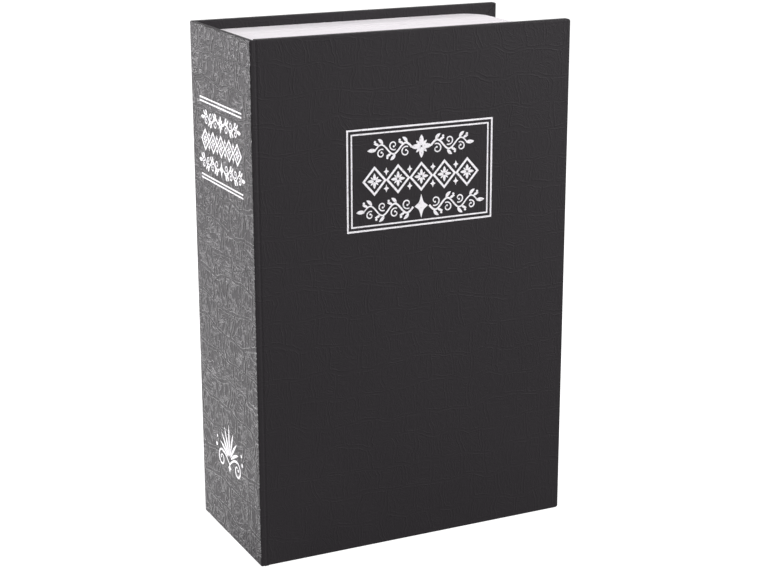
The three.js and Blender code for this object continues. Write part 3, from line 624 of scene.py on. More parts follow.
def page_ring(depth, thickness, line):
    """One layer of the page edges, seen from the front: bottom, fore-edge, top, spine side."""
    near = min(depth, thickness - depth)
    lift = fall(RIM_RADIUS, near)
    x0, x1 = pages_low.x + fall(SPINE_RADIUS, near), pages_high.x - fall(FORE_RADIUS, near)
    y, z0, z1 = pages_low.y + depth, pages_low.z + lift, pages_high.z - lift
    bend_x, bend_z0, bend_z1 = x1 - LAYER_RADIUS, z0 + LAYER_RADIUS, z1 - LAYER_RADIUS

    def corner(z, start):
        outwards = arc(0, 0, 1, start, start + 90, 4)
        return [(bend_x + LAYER_RADIUS * u, z + LAYER_RADIUS * v, u, v) for u, v in outwards]

    spots = [(x, z0, 0, -1) for x in between(x0, bend_x, 22)]
    spots += corner(bend_z0, -90)[1:]
    spots += [(x1, z, 1, 0) for z in between(bend_z0, bend_z1, 34)[1:-1]]
    spots += corner(bend_z1, 0)
    spots += [(x, z1, 0, 1) for x in between(bend_x, x0, 22)[1:]]
    ring = []
    for u, v, out_u, out_v in spots:
        place = Vector((u / WANDER_ALONG, y * WANDER_THROUGH, v / WANDER_ALONG))
        inset = line * (1 + WANDER_SHARE * noise.noise(place))
        ring.append((u - out_u * inset, y, v - out_v * inset))
    return ring


def grown_box(low, high, grow, y0, y1):
    return block(low.x - grow, high.x + grow, y0, y1, low.z - grow, high.z + grow)


def mouth_outline(grow):
    low, high, radius = MOUTH_LOW, MOUTH_HIGH, MOUTH_ROUND + grow
    return rounded(low.x - grow, high.x + grow, low.z - grow, high.z + grow, (radius,) * 4, 6)


def page_hollow():
    """The open inside of the page block, between collar and ribs."""
    x0, y0, z0 = pages_low
    x1, _, z1 = pages_high
    wall, ribs = FRAME_WALL, (y0 + RIB_SINK, FLANGE_Y0 + RIB_SINK)
    outline = rounded(x0 + wall, x1 - wall, y0 + wall, FLANGE_Y0, (0, FORE_RADIUS - wall, 0, 0))
    hollow = prism(outline, "z", z0 + wall, z1 - wall)
    solid = [grown_box(MOUTH_LOW, MOUTH_HIGH, COLLAR_WALL, ribs[0], y0 + COLLAR_DEPTH)]
    for z in between(z0, z1, 6)[1:-1]:
        solid.append(block(x0, x1, *ribs, z - RIB / 2, z + RIB / 2))
    for x in between(x0, x1, 4)[1:-1]:
        solid.append(block(x - RIB / 2, x + RIB / 2, *ribs, z0, z1))
    return combine(hollow, solid)


def page_block():
    x0, y0, z0 = pages_low
    x1, y1, z1 = pages_high
    wall, flare = FRAME_WALL, MOUTH_FLARE
    random.seed(7)
    body = loft([page_ring(y, y1 - y0, line) for y, line in page_levels(y1 - y0)])
    funnel = ((-0.5, flare + 0.1), (0, flare), (0.1, flare * 0.38), (flare, 0))
    cuts = [
        page_hollow(),
        prism(mouth_outline(0), "y", y0 - PAST, FLANGE_Y0),
        loft([[(u, y0 + depth, v) for u, v in mouth_outline(grow)] for depth, grow in funnel]),
        block(x0 + wall, x1 - FORE_RADIUS, FLANGE_Y1, y1 + PAST, z0 + wall, z1 - wall),
        grown_box(tub_low, tub_high, -FLANGE_WIDTH, FLANGE_Y0 - PAST, FLANGE_Y1 + PAST),
        holes("floor", (FLANGE_Y0 + FLANGE_Y1) / 2),
    ]
    combine(body, cuts)
    dress(body, "page_block", "book", "page_moulding", "page_frame", sharp=38)


# Steel box
SHEET, SHEET_ROUND = 1.0, 0.12
TUB_RADIUS, TUB_EDGE, TUB_INNER_EDGE = 3.0, 0.9, 0.5
LIP, LIP_RADII = 5.0, (0.3, 2, 2, 0.3)
LID_RADIUS, LID_EDGE, LID_INNER_EDGE = 1.2, 0.8, 0.4
LID_OVERRUN = 3.0
LOCK_HOLE, LOCK_HOLE_FLAT = 6.2, 5.2


def tub():
    x0, y0, z0 = tub_low
    x1, y1, z1 = tub_high
    body = prism(rounded(x0, x1, z0, z1, (TUB_RADIUS,) * 4, 10), "y", y0, y1)
    soften(body, TUB_EDGE, 4)
    radii = (TUB_RADIUS - SHEET,) * 4
    outline = rounded(x0 + SHEET, x1 - SHEET, z0 + SHEET, z1 - SHEET, radii, 10)
    rim = SHEET + LIP
    mouth = rounded(x0 + SHEET, x1 - rim, z0 + rim, z1 - rim, LIP_RADII, 8)
    cuts = [
        soften(prism(outline, "y", y0 + SHEET, y1 - SHEET), TUB_INNER_EDGE, 3),
        prism(mouth, "y", y0 - PAST, y0 + 2 * PAST),
        holes("floor", y1),
        holes("hinge", x0),
        holes("strike", x1),
    ]
    soften(tidy(combine(body, cuts)), SHEET_ROUND, 2, 50)
    dress(body, "steel_tub", "book", "enamelled_steel", "tub")


def lid():
    x0, y0, z0 = lid_low
    x1, y1, z1 = lid_high
    over = LID_OVERRUN
    plate = prism(rounded(x0 - over, x1, z0, z1, (0, LID_RADIUS, LID_RADIUS, 0), 8), "y", y0, y1)
    soften(plate, LID_EDGE, 4)
    inside = block(x0 - over - PAST, x1 - SHEET, y0 + SHEET, y1 + over, z0 + SHEET, z1 - SHEET)
    cuts = [
        soften(inside, LID_INNER_EDGE, 3),
        block(x0 - over - 2 * PAST, x0, y0 - PAST, y1 + PAST, z0 - PAST, z1 + PAST),
        holes("lid", y0),
        flattened(disc(LOCK_HOLE, y0 - PAST, y0 + SHEET + PAST), LOCK_HOLE_FLAT),
    ]
    soften(tidy(combine(plate, cuts)), SHEET_ROUND, 2, 50)
    dress(plate, "steel_lid", "lid", "enamelled_steel", "lid")


# Piano hinge
LEAF, LEAF_ROUND = 0.8, 0.13
KNUCKLES = 15
KNUCKLE_RADIUS, KNUCKLE_GAP, KNUCKLE_ROOM = 2.0, 0.15, 0.3
CURL_STOP = degrees(0.7) - 360
PIN_RADIUS, PIN_NECK = 0.9, 0.75
PIN_HEAD_RADIUS, PIN_HEAD = 1.6, 0.7
HINGE = (pin_low.x + PIN_HEAD_RADIUS, pin_low.y + PIN_HEAD_RADIUS)


def rolled_section(width):
    """A leaf's section about the hinge line: its flat and its curl."""
    outer, inner = KNUCKLE_RADIUS, KNUCKLE_RADIUS - LEAF
    curl = arc(0, 0, outer, -90, CURL_STOP, 36) + arc(0, 0, inner, CURL_STOP, -90, 36)
    return [(width, -outer), *curl, (width, -inner)]


def hinge_leaf(node, name, body, section, first, cutter):
    """A leaf without its rivet holes and every second knuckle, from the first given."""
    z0, z1 = (corner.z for corner in extent(node))
    x, y = HINGE
    leaf = prism([(x + u, y + v) for u, v in section], "z", z0, z1)
    step = (z1 - z0) / KNUCKLES
    reach = KNUCKLE_RADIUS + KNUCKLE_ROOM
    notches = []
    for i in range(first, KNUCKLES, 2):
        ends = (z0 + i * step - KNUCKLE_GAP, z0 + (i + 1) * step + KNUCKLE_GAP)
        notches.append(block(x - reach, x + reach, y - reach, y + reach, *ends))
    combine(leaf, [join(*notches), cutter])
    soften(tidy(leaf, 0.1), LEAF_ROUND, 2, 40)
    dress(leaf, name, body, "zinc_plate", node)


def lid_leaf():
    low, high = extent("lid_hinge_leaf")
    section = rolled_section(high.x - HINGE[0])
    hinge_leaf("lid_hinge_leaf", "hinge_leaf_lid", "lid", section, 0, holes("lid", low.y))


def tub_leaf():
    high = extent("tub_hinge_leaf")[1]
    section = [(-v, u) for u, v in rolled_section(high.y - HINGE[1])]
    hinge_leaf("tub_hinge_leaf", "hinge_leaf_tub", "book", section, 1, holes("hinge", high.x))


def hinge_pin():
    end = [*arc(0, PIN_HEAD, PIN_HEAD_RADIUS, -90, 0, 6, PIN_HEAD), (PIN_RADIUS, PIN_NECK)]
    rod = turned(both_ends(end, pin_low.z, pin_high.z), "z", HINGE, 32)
    dress(rod, "hinge_rod", "book", "zinc_plate", "hinge_pin")


# Rivets: the radius of hole, shank and head, and the head's height
SMALL, LARGE = (1.7, 1.5, 2.6, 0.8), (2.2, 2.0, 3.8, 1.2)
RIVETS = {
    "floor": (4, "y", LARGE, "book"),
    "lid": (5, "y", SMALL, "lid"),
    "hinge": (5, "x", SMALL, "book"),
    "strike": (2, "x", SMALL, "book"),
}
HEAD_TUCK = 0.05
TAIL_ROUND, TAIL_DROP = 0.25, 0.3
TAIL_DISH = ((0.55, 0.05), (0.3, 0.0), (0, 0.12))


def holes(kind, level):
    """One cutter with a round hole at each rivet of a kind, through a sheet at a level."""
    count, axis, sizes, _ = RIVETS[kind]
    u, v, _ = AXES[axis]
    profile = disc(sizes[0], level - 2 * PAST, level + 2 * PAST)
    places = [extent(f"{kind}_rivet_{i}") for i in range(1, count + 1)]
    centres = [(low + high) / 2 for low, high in places]
    return join(*(turned(profile, axis, (c[u], c[v]), 24) for c in centres))


def rivet(kind, i, axis, sizes, body):
    """A domed head, a shank and a set tail between the CAD rivet's two ends."""
    node = f"{kind}_rivet_{i}"
    low, high = extent(node)
    u, v, w = AXES[axis]
    centre = (low + high) / 2
    _, shank, head, height = sizes
    lip = height / 4
    tail = head - lip
    start, stop = low[w] + height, high[w] - height
    profile = arc(0, start - lip, head, -90, 0, 6, height - lip)
    profile += [(head - HEAD_TUCK, start), (shank, start), (shank, stop), (tail, stop)]
    profile += arc(tail - TAIL_ROUND, stop, TAIL_ROUND, 0, 90, 6, height - TAIL_DROP)[1:]
    profile += [(tail * share, stop + height - dip) for share, dip in TAIL_DISH]
    piece = turned(profile, axis, (centre[u], centre[v]), 32)
    dress(piece, f"rivet_{kind}_{i}", body, "zinc_plate", node, sharp=40)


def rivets():
    for kind, (count, *settings) in RIVETS.items():
        for i in range(1, count + 1):
            rivet(kind, i, *settings)


# Cam lock: faces and threads are radii and depths, the keyway an outline about the axis
LOCK = ((lock_low.x + lock_high.x) / 2, (lock_low.z + lock_high.z) / 2)
BEZEL, BEZEL_RADIUS, BEZEL_ROUND, BEZEL_EDGE = 1.3, 9.5, 0.9, 0.12
BEZEL_FACE = ((0, 0), (6.3, 0), (6.5, 0.12), (7.0, 0.12), (7.2, 0))
BEZEL_SEAT = ((0, -1), (5.85, -1), (5.5, 0.25), (5.5, 1.6), (0, 1.6))
BARREL_ROOT, BARREL_FLAT, BARREL_SINK, BORE = 5.68, 5.0, 0.4, 4.5
THREAD_PITCH = 1.0
THREAD = ((BARREL_ROOT, 0), (6, 0.35), (6, 0.5), (BARREL_ROOT, 0.85))
NUT_END = ((0, 0), (8.1, 0), (9.6, 0.8))
PLUG_FACE = ((0, 0), (4.7, 0), (5.05, 0.1), (5.2, 0.35), (5.2, 1.3), (4.2, 1.3))
PLUG_RADIUS, SQUARE_HALF, SQUARE_ROUND, SQUARE_GAP = 4.2, 3.0, 0.25, 0.05
KEYWAY = [(-0.9, -3), (0.9, -3), (0.9, -0.9), (0.45, -0.6), (0.45, 0.5), (0.9, 0.8), (0.9, 3)]
KEYWAY += [(-0.9, 3), (-0.9, 1.9), (-0.5, 1.6), (-0.5, 0.2), (-0.9, -0.1)]
KEYWAY_DEPTH = 11
KEYWAY_MOUTH = ((-0.2, 1.5, 1.15), (0.22, 1.0, 1.0))
WAFER_ROOM, WAFER_REACH = 0.2, 6
CAM_HUB, CAM_TIP, CAM_LENGTH, CAM_ROUND, CAM_HOLE_HALF = 7.0, 4.5, 16.0, 0.2, 3.2
WASHER_RADIUS, WASHER_EDGE = 4.6, 0.15
SCREW_HOLE, SCREW_HOLE_DEPTH = 1.6, 5.3
SCREW_END = ((0, 0), (1.1, 0), (1.4, 0.4))
SCREW_THREAD, SCREW_START, SCREW_PITCH = ((1.2, 0), (1.4, 0.25)), 0.6, 0.5
SCREW_HEAD = 2.0
SCREW_FLANGE = ((1.4, 0), (3.3, 0), (3.5, 0.2), (3.5, 0.9))
CROSS_REACH, CROSS_HALF, CROSS_DEPTH = 2, 0.45, 1.2
STRIKE, STRIKE_BEND, STRIKE_ROUND = 1.2, 1.6, 0.15


def on_lock(profile, level=0.0, steps=64):
    """A round body on the lock's axis, from radii and depths behind a level."""
    return turned([(radius, level + depth) for radius, depth in profile], "y", LOCK, steps)


def bar(half_x, half_z, y0, y1):
    """A block about the lock's axis."""
    x, z = LOCK
    return block(x - half_x, x + half_x, y0, y1, z - half_z, z + half_z)


def flattened(profile, flat):
    """A round body on the lock's axis with two flats."""
    reach = max(radius for radius, _ in profile) + PAST
    flats = bar(reach, flat, profile[0][1] - PAST, profile[-1][1] + PAST)
    return combine(on_lock(profile), [flats], "INTERSECT")


def threads(shape, y, stop, pitch):
    """Turns of a thread from a level on, up to a stop."""
    turns = []
    while y < stop - pitch:
        turns += [(radius, y + depth) for radius, depth in shape]
        y += pitch
    return turns


def lock_bezel():
    y0, y1 = lock_low.y, lock_high.y
    profile = [*BEZEL_FACE, *arc(BEZEL_RADIUS - BEZEL_ROUND, BEZEL_ROUND, BEZEL_ROUND, -90, 0, 6)]
    profile += [(BEZEL_RADIUS, BEZEL - BEZEL_EDGE), (BEZEL_RADIUS - BEZEL_EDGE, BEZEL), (0, BEZEL)]
    bezel = on_lock(profile, y0, 96)
    start = y0 + BEZEL - BARREL_SINK
    turns = threads(THREAD, start, y1, THREAD_PITCH)
    barrel = flattened([(0, start), *turns, (BARREL_ROOT, y1), (0, y1)], BARREL_FLAT)
    combine(bezel, [barrel], "UNION")
    combine(bezel, [on_lock(disc(BORE, y0 - PAST, y1 + PAST)), on_lock(BEZEL_SEAT, y0, 96)])
    dress(bezel, "lock_bezel", "lid", "lock_chrome", "lock_housing", sharp=30)


def lock_nut():
    low, high = extent("lock_nut")
    nut = prism(arc(*LOCK, (high.x - low.x) / 2, 0, 300, 5), "y", low.y, high.y)
    combine(nut, [on_lock(both_ends(NUT_END, low.y, high.y))], "INTERSECT")
    combine(nut, [on_lock(disc(LOCK_HOLE, low.y - PAST, high.y + PAST))])
    dress(nut, "lock_ring_nut", "lid", "zinc_plate", "lock_nut", sharp=25)


def keyway_ring(y, wide=1.0, tall=1.0):
    x, z = LOCK
    return [(x + u * wide, y, z + v * tall) for u, v in KEYWAY]


def lock_barrel():
    low, high = extent("lock_plug")
    y, z = low.y, LOCK[1]
    tail = extent("lock_cam")[0].y - SQUARE_GAP
    barrel = on_lock([*PLUG_FACE, (PLUG_RADIUS, tail - y), (0, tail - y)], y, 96)
    square = bar(SQUARE_HALF, SQUARE_HALF, tail - PAST, high.y)
    combine(barrel, [soften(square, SQUARE_ROUND)], "UNION")
    slots = []
    for a, b in (extent(f"lock_wafer_{i}") for i in range(1, 5)):
        sides = (a.x - WAFER_ROOM, b.x + WAFER_ROOM, a.y - WAFER_ROOM, b.y + WAFER_ROOM)
        slots.append(block(*sides, z - WAFER_REACH, z + WAFER_REACH))
    cuts = [
        loft([keyway_ring(y - PAST), keyway_ring(y + KEYWAY_DEPTH)]),
        loft([keyway_ring(y + depth, *scale) for depth, *scale in KEYWAY_MOUTH]),
        on_lock(disc(SCREW_HOLE, high.y - SCREW_HOLE_DEPTH, high.y + PAST), steps=24),
        join(*slots),
    ]
    combine(barrel, cuts)
    dress(barrel, "lock_barrel", "lock_core", "lock_brass", "lock_plug", sharp=30)


def cam_arm():
    """An outline round hub and tip, with straight flanks that touch both."""
    low, high = extent("lock_cam")
    x, z = LOCK
    reach = CAM_LENGTH - CAM_TIP
    lean = degrees(acos((CAM_HUB - CAM_TIP) / reach))
    outline = arc(x, z, CAM_HUB, 90 + lean, 450 - lean, 40)
    outline += arc(x, z + reach, CAM_TIP, 90 - lean, 90 + lean, 20)
    cam = prism(outline, "y", low.y, high.y)
    combine(cam, [bar(CAM_HOLE_HALF, CAM_HOLE_HALF, low.y - PAST, high.y + PAST)])
    soften(tidy(cam), CAM_ROUND, 3, 40)
    dress(cam, "cam_arm", "lock_core", "zinc_plate", "lock_cam")


def cam_washer():
    low, high = extent("cam_washer")
    hole, rim, edge = SCREW_HOLE, WASHER_RADIUS, WASHER_EDGE
    profile = [(hole, low.y), *both_ends([(rim - edge, 0), (rim, edge)], low.y, high.y)]
    profile += [(hole + edge, high.y), (hole, high.y - edge)]
    dress(on_lock(profile), "cam_disc_washer", "lock_core", "zinc_plate", "cam_washer")


def cam_screw():
    low, high = extent("cam_screw")
    seat = high.y - SCREW_HEAD
    radius, flange = SCREW_FLANGE[-1]
    turns = threads(SCREW_THREAD, low.y + SCREW_START, seat, SCREW_PITCH)
    profile = [(r, low.y + depth) for r, depth in SCREW_END] + turns
    profile += [(r, seat + depth) for r, depth in SCREW_FLANGE]
    profile += arc(0, seat + flange, radius, 15, 75, 4, SCREW_HEAD - flange)
    screw = on_lock([*profile, (0, high.y)], steps=48)
    depths = (high.y - CROSS_DEPTH, high.y + PAST)
    combine(screw, [bar(CROSS_REACH, CROSS_HALF, *depths), bar(CROSS_HALF, CROSS_REACH, *depths)])
    dress(screw, "cam_pan_screw", "lock_core", "zinc_plate", "cam_screw", sharp=40)


def strike():
    low, high = extent("lock_strike")
    x1, y1 = high.x, high.y
    bend = (x1 - STRIKE_BEND, y1 - STRIKE_BEND)
    outline = [(x1 - STRIKE, low.y), (x1, low.y), *arc(*bend, STRIKE_BEND, 0, 90, 8)]
    outline += [(low.x, y1), (low.x, y1 - STRIKE), *arc(*bend, STRIKE_BEND - STRIKE, 90, 0, 6)]
    angle = prism(outline, "z", low.z, high.z)
    combine(angle, [holes("strike", x1)])
    soften(tidy(angle, 0.1), STRIKE_ROUND, 2, 40)
    dress(angle, "strike_angle", "book", "zinc_plate", "lock_strike")


def carried_nodes():
    """Better materials for the CAD pieces that stay: boards and wafers."""
    for name in ("spine_card", "back_board", "front_board"):
        give(nodes[name], "grey_board")
    for i in range(1, 5):
        give(nodes[f"lock_wafer_{i}"], "lock_brass")


# Foil stamping
FOIL_LIFT, FOIL_SINK = 0.035, 0.03
LAYERS, LAYER_STEP = 7, 0.0015
THINNEST = 0.04
PEN = 1.2
RULE_STEP, RULE_UNEVEN = 1.5, 0.10
LEAF_STEPS, VOLUTE_STEPS = 12, 34
VINE_LEAVES = ((-0.12, 0, 0.75, 0.30, 0.95, 0.35), (0.20, 0.05, 1.15, 0.24, 0.75, 0.3))
FRONT_FRAMES = ((-25.5, 28.6, 114.0, 148.2, 0.60), (-24.0, 27.1, 115.5, 146.7, 0.52))
FRONT_ROWS = (("vine", 17.2, 140.9, 8.6), ("chain", 21.8, 130.6, 9.6), ("turned vine", 21.4, 120.4, 9.0))
SPINE_RULES, SPINE_RULE_ENDS, SPINE_RULE = (155.3, 154.0, 128.5, 127.3), (-19.6, 19.0), 0.55
SPINE_ROWS = (("vine", 15.5, 148.6, 6.4), ("chain", 18.6, 141.0, 7.2), ("turned vine", 18.6, 133.2, 6.6))
FRONT_MIDDLE, SPINE_MIDDLE, PALMETTE = 1.8, -0.3, (-0.5, 26.0)
FACES = {"cover": ((1, 0, 0), (0, -1, 0), -front_low.y), "book": ((0, -1, 0), (-1, 0, 0), -case_low.x)}


def lozenge_tips(a, b):
    return [Vector(tip) for tip in ((a, 0), (0, b), (-a, 0), (0, -b), (a, 0))]


class Stamp:
    """Foil shapes on one face of the book, with u to the reader's right and v up."""

    def __init__(self, right, face, level):
        self.right, self.face, self.level = Vector(right), Vector(face), level
        self.bm = bmesh.new()
        self.layer = 0

    def span(self):
        """The next shape's foot and top. Tops differ, so that crossing shapes don't coincide."""
        self.layer = (self.layer + 1) % LAYERS
        return self.level - FOIL_SINK, self.level + FOIL_LIFT + LAYER_STEP * self.layer

    def body(self, rings):
        up = Vector((0, 0, 1))
        skin(self.bm, [[self.right * u + up * v + self.face * out for u, v, out in ring] for ring in rings])

    def polygon(self, outline):
        self.body([[(u, v, out) for u, v in outline] for out in self.span()])

    def stroke(self, line, widths):
        """A pen stroke along a line, with a width at each point."""
        foot, top = self.span()
        rings = []
        for i, (u, v) in enumerate(line):
            (au, av), (bu, bv) = line[max(i - 1, 0)], line[min(i + 1, len(line) - 1)]
            half = max(widths[i], THINNEST) / 2 / (hypot(bu - au, bv - av) or 1.0)
            du, dv = (av - bv) * half, (bu - au) * half
            left, right = (u + du, v + dv), (u - du, v - dv)
            rings.append([(*left, foot), (*left, top), (*right, top), (*right, foot)])
        self.body(rings)

    def dot(self, u, v, radius):
        self.polygon(arc(u, v, radius, 0, 360, 20)[:-1])

    def lozenge(self, u, v, a, b):
        """A lozenge with hollowed sides."""
        tips = lozenge_tips(a, b)
        outline = []
        for start, stop in zip(tips, tips[1:]):
            for t in shares(6)[:-1]:
                outline.append(Vector((u, v)) + start.lerp(stop, t) * (1 - 0.32 * sin(pi * t)))
        self.polygon(outline)

    def leaf(self, u, v, angle, length, width, curl):
        """A leaf that swells and narrows, and turns by twice its curl."""
        step = length / LEAF_STEPS
        line = [(u, v)]
        for t in shares(LEAF_STEPS)[1:]:
            a = angle + curl * (2 * t - 1)
            u, v = u + cos(a) * step, v + sin(a) * step
            line.append((u, v))
        swell = [sin(pi * min(t * 0.94 + 0.06, 1)) ** 0.8 for t in shares(LEAF_STEPS)]
        self.stroke(line, [width * share for share in swell])

    def volute(self, u, v, radius, start, turn, wide):
        """A scroll that winds inwards from its rim to a dot."""
        line, widths = [], []
        for t in shares(VOLUTE_STEPS):
            r, a = radius * (1 - 0.72 * t), start + turn * t
            line.append((u + r * cos(a), v + r * sin(a)))
            widths.append(wide * (0.45 + 0.55 * sin(pi * min(1, 0.15 + t)) ** 0.5))
        self.stroke(line, widths)
        self.dot(*line[-1], wide * 0.72)

    def rule(self, u0, u1, v, width):
        line = [(u, v) for u in between(u0, u1, int(abs(u1 - u0) / RULE_STEP))]
        uneven = [1 + RULE_UNEVEN * noise.noise(Vector((u * 1.3, v, 3))) for u, _ in line]
        self.stroke(line, [width * share for share in uneven])

    def frame(self, u0, u1, v0, v1, width):
        """A mitred rectangle of foil."""
        corners = [Vector(corner) for corner in rectangle(u0, u1, v0, v1)]
        for a, b in zip(corners, corners[1:] + corners[:1]):
            along = (b - a).normalized() * width / 2
            across = Vector((along.y, -along.x))
            count = int((b - a).length / RULE_STEP)
            outer, inner = [], []
            for i, t in enumerate(shares(count)):
                uneven = 1 + RULE_UNEVEN * noise.noise(Vector((*(a + b * t), width * 9)))
                reach = across * uneven + along * {0: -1, count: 1}.get(i, 0)
                outer.append(a.lerp(b, t) + reach)
                inner.append(a.lerp(b, t) - reach)
            self.polygon(outer + inner[::-1])


def vine(stamp, u0, u1, v, height, waves, flip):
    """A running scroll of leaves, from the middle of a row outwards."""
    way = 1 if u1 > u0 else -1
    spine = [(t, flip * height * 0.20 * sin(pi * waves * t)) for t in shares(14 * waves)]
    line = [(u0 + (u1 - u0) * t, v + rise) for t, rise in spine]
    stamp.stroke(line, [PEN * (0.62 - 0.25 * t) for t, _ in spine])
    step = abs(u1 - u0) / waves
    for k in range(waves):
        side = -flip if k % 2 else flip
        turn = way * side
        middle = u0 + way * step * (k + 0.5)
        radius = min(step * 0.40, height * 0.27) * (1 - 0.06 * k)
        start = pi / 2 * side + turn * 0.5
        stamp.volute(middle, v - side * height * 0.15, radius, start, -turn * pi * 2.1, 0.40 * PEN)
        for shift, drop, lean, length, width, curl in VINE_LEAVES:
            root = (middle + way * step * shift, v + side * height * (0.22 - drop))
            angle = side * pi / 2 - turn * lean
            stamp.leaf(*root, angle, height * length, width * PEN, -turn * curl)
        stamp.dot(middle + way * step * 0.5, v + side * height * 0.33, 0.36 * PEN)
    stamp.leaf(u1 - way * 0.3, line[-1][1], 0 if way > 0 else pi, 2.6 * PEN, 1.1 * PEN, 0.1)


def rosette(stamp, u, v, radius):
    """Four leaves with four shorter ones between them."""
    for i in range(8):
        a = pi / 4 * i
        out, length, width = (0.55, 0.62, 0.26) if i % 2 else (0.3, 1.0, 0.46)
        stamp.leaf(u + out * cos(a), v + out * sin(a), a, radius * length, radius * width, 0.0)


def lozenge_chain(stamp, u0, u1, v, height, count):
    """Open lozenges in a row, with rosettes in them and small lozenges between."""
    step = (u1 - u0) / count
    a, b = step * 0.46, height * 0.47
    grow = 0.31 * PEN * hypot(a, b) / (a * b)
    tips = lozenge_tips(a, b)
    for k in range(count):
        u = u0 + step * (k + 0.5)
        for start, stop in zip(tips, tips[1:]):
            corners = [(start, 1 + grow), (stop, 1 + grow), (stop, 1 - grow), (start, 1 - grow)]
            stamp.polygon([Vector((u, v)) + tip * scale for tip, scale in corners])
        rosette(stamp, u, v, height * 0.24)
        if k:
            for side in (1, -1):
                stamp.lozenge(u0 + step * k, v + side * height * 0.30, 0.85 * PEN, 1.15 * PEN)


def panel(stamp, middle, rows):
    """Three rows of ornament, one above the other."""
    for kind, half, v, height in rows:
        if kind == "chain":
            lozenge_chain(stamp, middle - half, middle + half, v, height, 5)
            continue
        if kind == "vine":
            rosette(stamp, middle, v, height * 0.42)
            inner, waves, flip = height * 0.42, 3, 1
        else:
            stamp.lozenge(middle, v, height * 0.28, height * 0.46)
            inner, waves, flip = height * 0.34, 4, -1
        for way in (1, -1):
            vine(stamp, middle + way * inner, middle + way * half, v, height, waves, flip)


def palmette(stamp, u, v):
    """A fan of leaves over a pair of scrolls."""
    for i in range(-3, 4):
        a = pi / 2 - i * 0.36
        root = (u + 1.6 * cos(a), v + 3.2 + 1.6 * sin(a))
        stamp.leaf(*root, a, 11.5 - 1.1 * abs(i), 1.15, -0.07 * i)
    for side in (1, -1):
        stamp.volute(u + side * 7.4, v + 1.7, 3.2, pi / 2, -side * pi * 2.4, 0.75)
        line = [(u + side * 7.4 * t, v + 4.9 - 3.4 * (1 - t) ** 2) for t in shares(10)]
        stamp.stroke(line, [0.6 + 0.3 * t for t in shares(10)])
        stamp.dot(u + side * 12.2, v + 5.4, 0.75)
        stamp.dot(u + side * 11.6, v + 8.6, 0.55)
    stamp.lozenge(u, v + 0.2, 1.4, 2.0)


def front_frames(stamp):
    for outline in FRONT_FRAMES:
        stamp.frame(*outline)


def spine_rules(stamp):
    for v in SPINE_RULES:
        stamp.rule(*SPINE_RULE_ENDS, v, SPINE_RULE)


def stamped(name, body, draw, *values):
    """A foil piece on the face of a body, drawn by a function."""
    stamp = Stamp(*FACES[body])
    draw(stamp, *values)
    dress(to_object(stamp.bm), name, body, "cover_paper", look="foil", sharp=50)


def stamping():
    stamped("front_foil_frame", "cover", front_frames)
    stamped("front_foil_ornament", "cover", panel, FRONT_MIDDLE, FRONT_ROWS)
    stamped("spine_foil_rules", "book", spine_rules)
    stamped("spine_foil_ornament", "book", panel, SPINE_MIDDLE, SPINE_ROWS)
    stamped("spine_foil_palmette", "book", palmette, *PALMETTE)


# Floor and light. A lamp has a place and size in metres and a power in watts
WHITE = (1, 1, 1, 1)
FLOOR_HALF, FLOOR_DEPTH = 4000, 20
FLOOR_GREY, FLOOR_GLOW = (0.32, 0.32, 0.32, 1), 0.90
LIGHT_COLOUR = (1.0, 0.975, 1.0)
AMBIENT = 0.42
AIM = Vector((0, 0, 0.09))
LAMPS = {
    "top": ((-0.15, -0.25, 1.5), (1.2, 1.2), 4.6),
    "left": ((-1.1, 1.15, 0.45), (0.8, 0.5), 35),
    "front": ((1.0, -1.0, 0.65), (0.8, 0.8), 21),
}


def rays(tree):
    """1 for a ray from the camera, and 1 for a ray mirrored by a surface."""
    path = add(tree, "LightPath")
    mirrored = calc("ADD", path["Is Glossy Ray"], path["Is Transmission Ray"], clamp=True)
    return path["Is Camera Ray"], mirrored


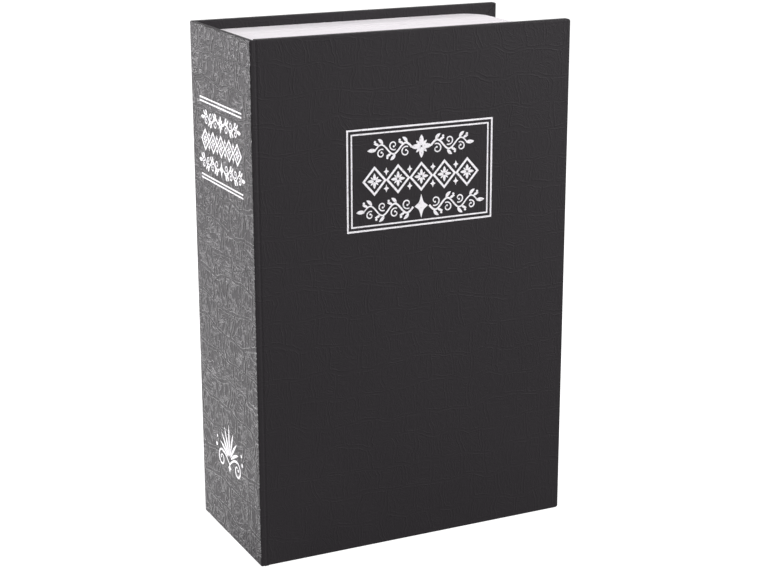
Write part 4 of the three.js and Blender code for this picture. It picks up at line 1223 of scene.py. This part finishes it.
def white_floor_with_painted_reflection(tree):
    """White to the camera, and glowing brighter to mirrored rays on the side that the spine faces: a painted
    reflection that puts the grey sheen on the spine.
    """
    camera, mirrored = rays(tree)
    x, y, _ = after("SeparateXYZ", {0: millimetres(tree)})
    # Painted reflection: only mirrored rays see this glow. It is graded up towards the spine's side and
    # close behind the book, brighter than white there, to light the spine's sheen.
    mirrored = calc("MULTIPLY", mirrored, ramp(calc("SUBTRACT", y, x), 0, 120, 0.12, 1.0))
    mirrored = calc("MULTIPLY", mirrored, ramp(y, 500, 40, 0.8, 1.9))
    level = calc("MULTIPLY_ADD", camera, FLOOR_GLOW, mirrored)
    matt = {"Base Color": FLOOR_GREY, "Roughness": 0.9, "Specular IOR Level": 0.0}
    surface = add(tree, "BsdfPrincipled", matt)[0]
    glow = after("Emission", {"Color": WHITE, "Strength": level})[0]
    after("OutputMaterial", {"Surface": after("AddShader", {0: surface, 1: glow})[0]})


def floor():
    half = FLOOR_HALF
    plane = prism(rectangle(-half, half, -half, half), "z", -FLOOR_DEPTH, 0)
    plane.name = "floor"
    plane.data.materials.append(make_material("floor", white_floor_with_painted_reflection))


def lamp(name, place, size, power):
    data = bpy.data.lights.new(name, "AREA")
    data.shape = "RECTANGLE"
    data.size, data.size_y = size
    data.energy = power
    data.color = LIGHT_COLOUR
    made = bpy.data.objects.new(name, data)
    scene.collection.objects.link(made)
    made.location = place
    made.rotation_euler = (AIM - Vector(place)).to_track_quat("-Z", "Y").to_euler()


def studio():
    """A white background for the camera, a dim one for light and a graded one for reflections."""
    world = bpy.data.worlds.new("studio")
    scene.world = world
    tree = cleared(world)
    camera, mirrored = rays(tree)
    behind = ramp(after("SeparateXYZ", {0: add(tree, "TexCoord")["Generated"]})[1], -0.6, 0.5)
    graded = tint(behind, (0.12, 0.12, 0.12), (0.9, 0.9, 0.9))
    seen = add(tree, "Background", {"Color": WHITE})[0]
    lighting = add(tree, "Background", {"Color": (*LIGHT_COLOUR, 1), "Strength": AMBIENT})[0]
    reflected = add(tree, "Background", {"Color": graded})[0]
    unseen = after("MixShader", {0: mirrored, 1: lighting, 2: reflected})[0]
    after("OutputWorld", {"Surface": after("MixShader", {0: camera, 1: unseen, 2: seen})[0]})
    for name, settings in LAMPS.items():
        lamp(name, *settings)


make_camera()
looks = make_looks()
for build in (front_cover, case, joint, lining, page_block, tub, lid, lid_leaf, tub_leaf, hinge_pin, rivets):
    build()
for build in (lock_bezel, lock_nut, lock_barrel, cam_arm, cam_washer, cam_screw, strike, carried_nodes):
    build()
stamping()
floor()
studio()
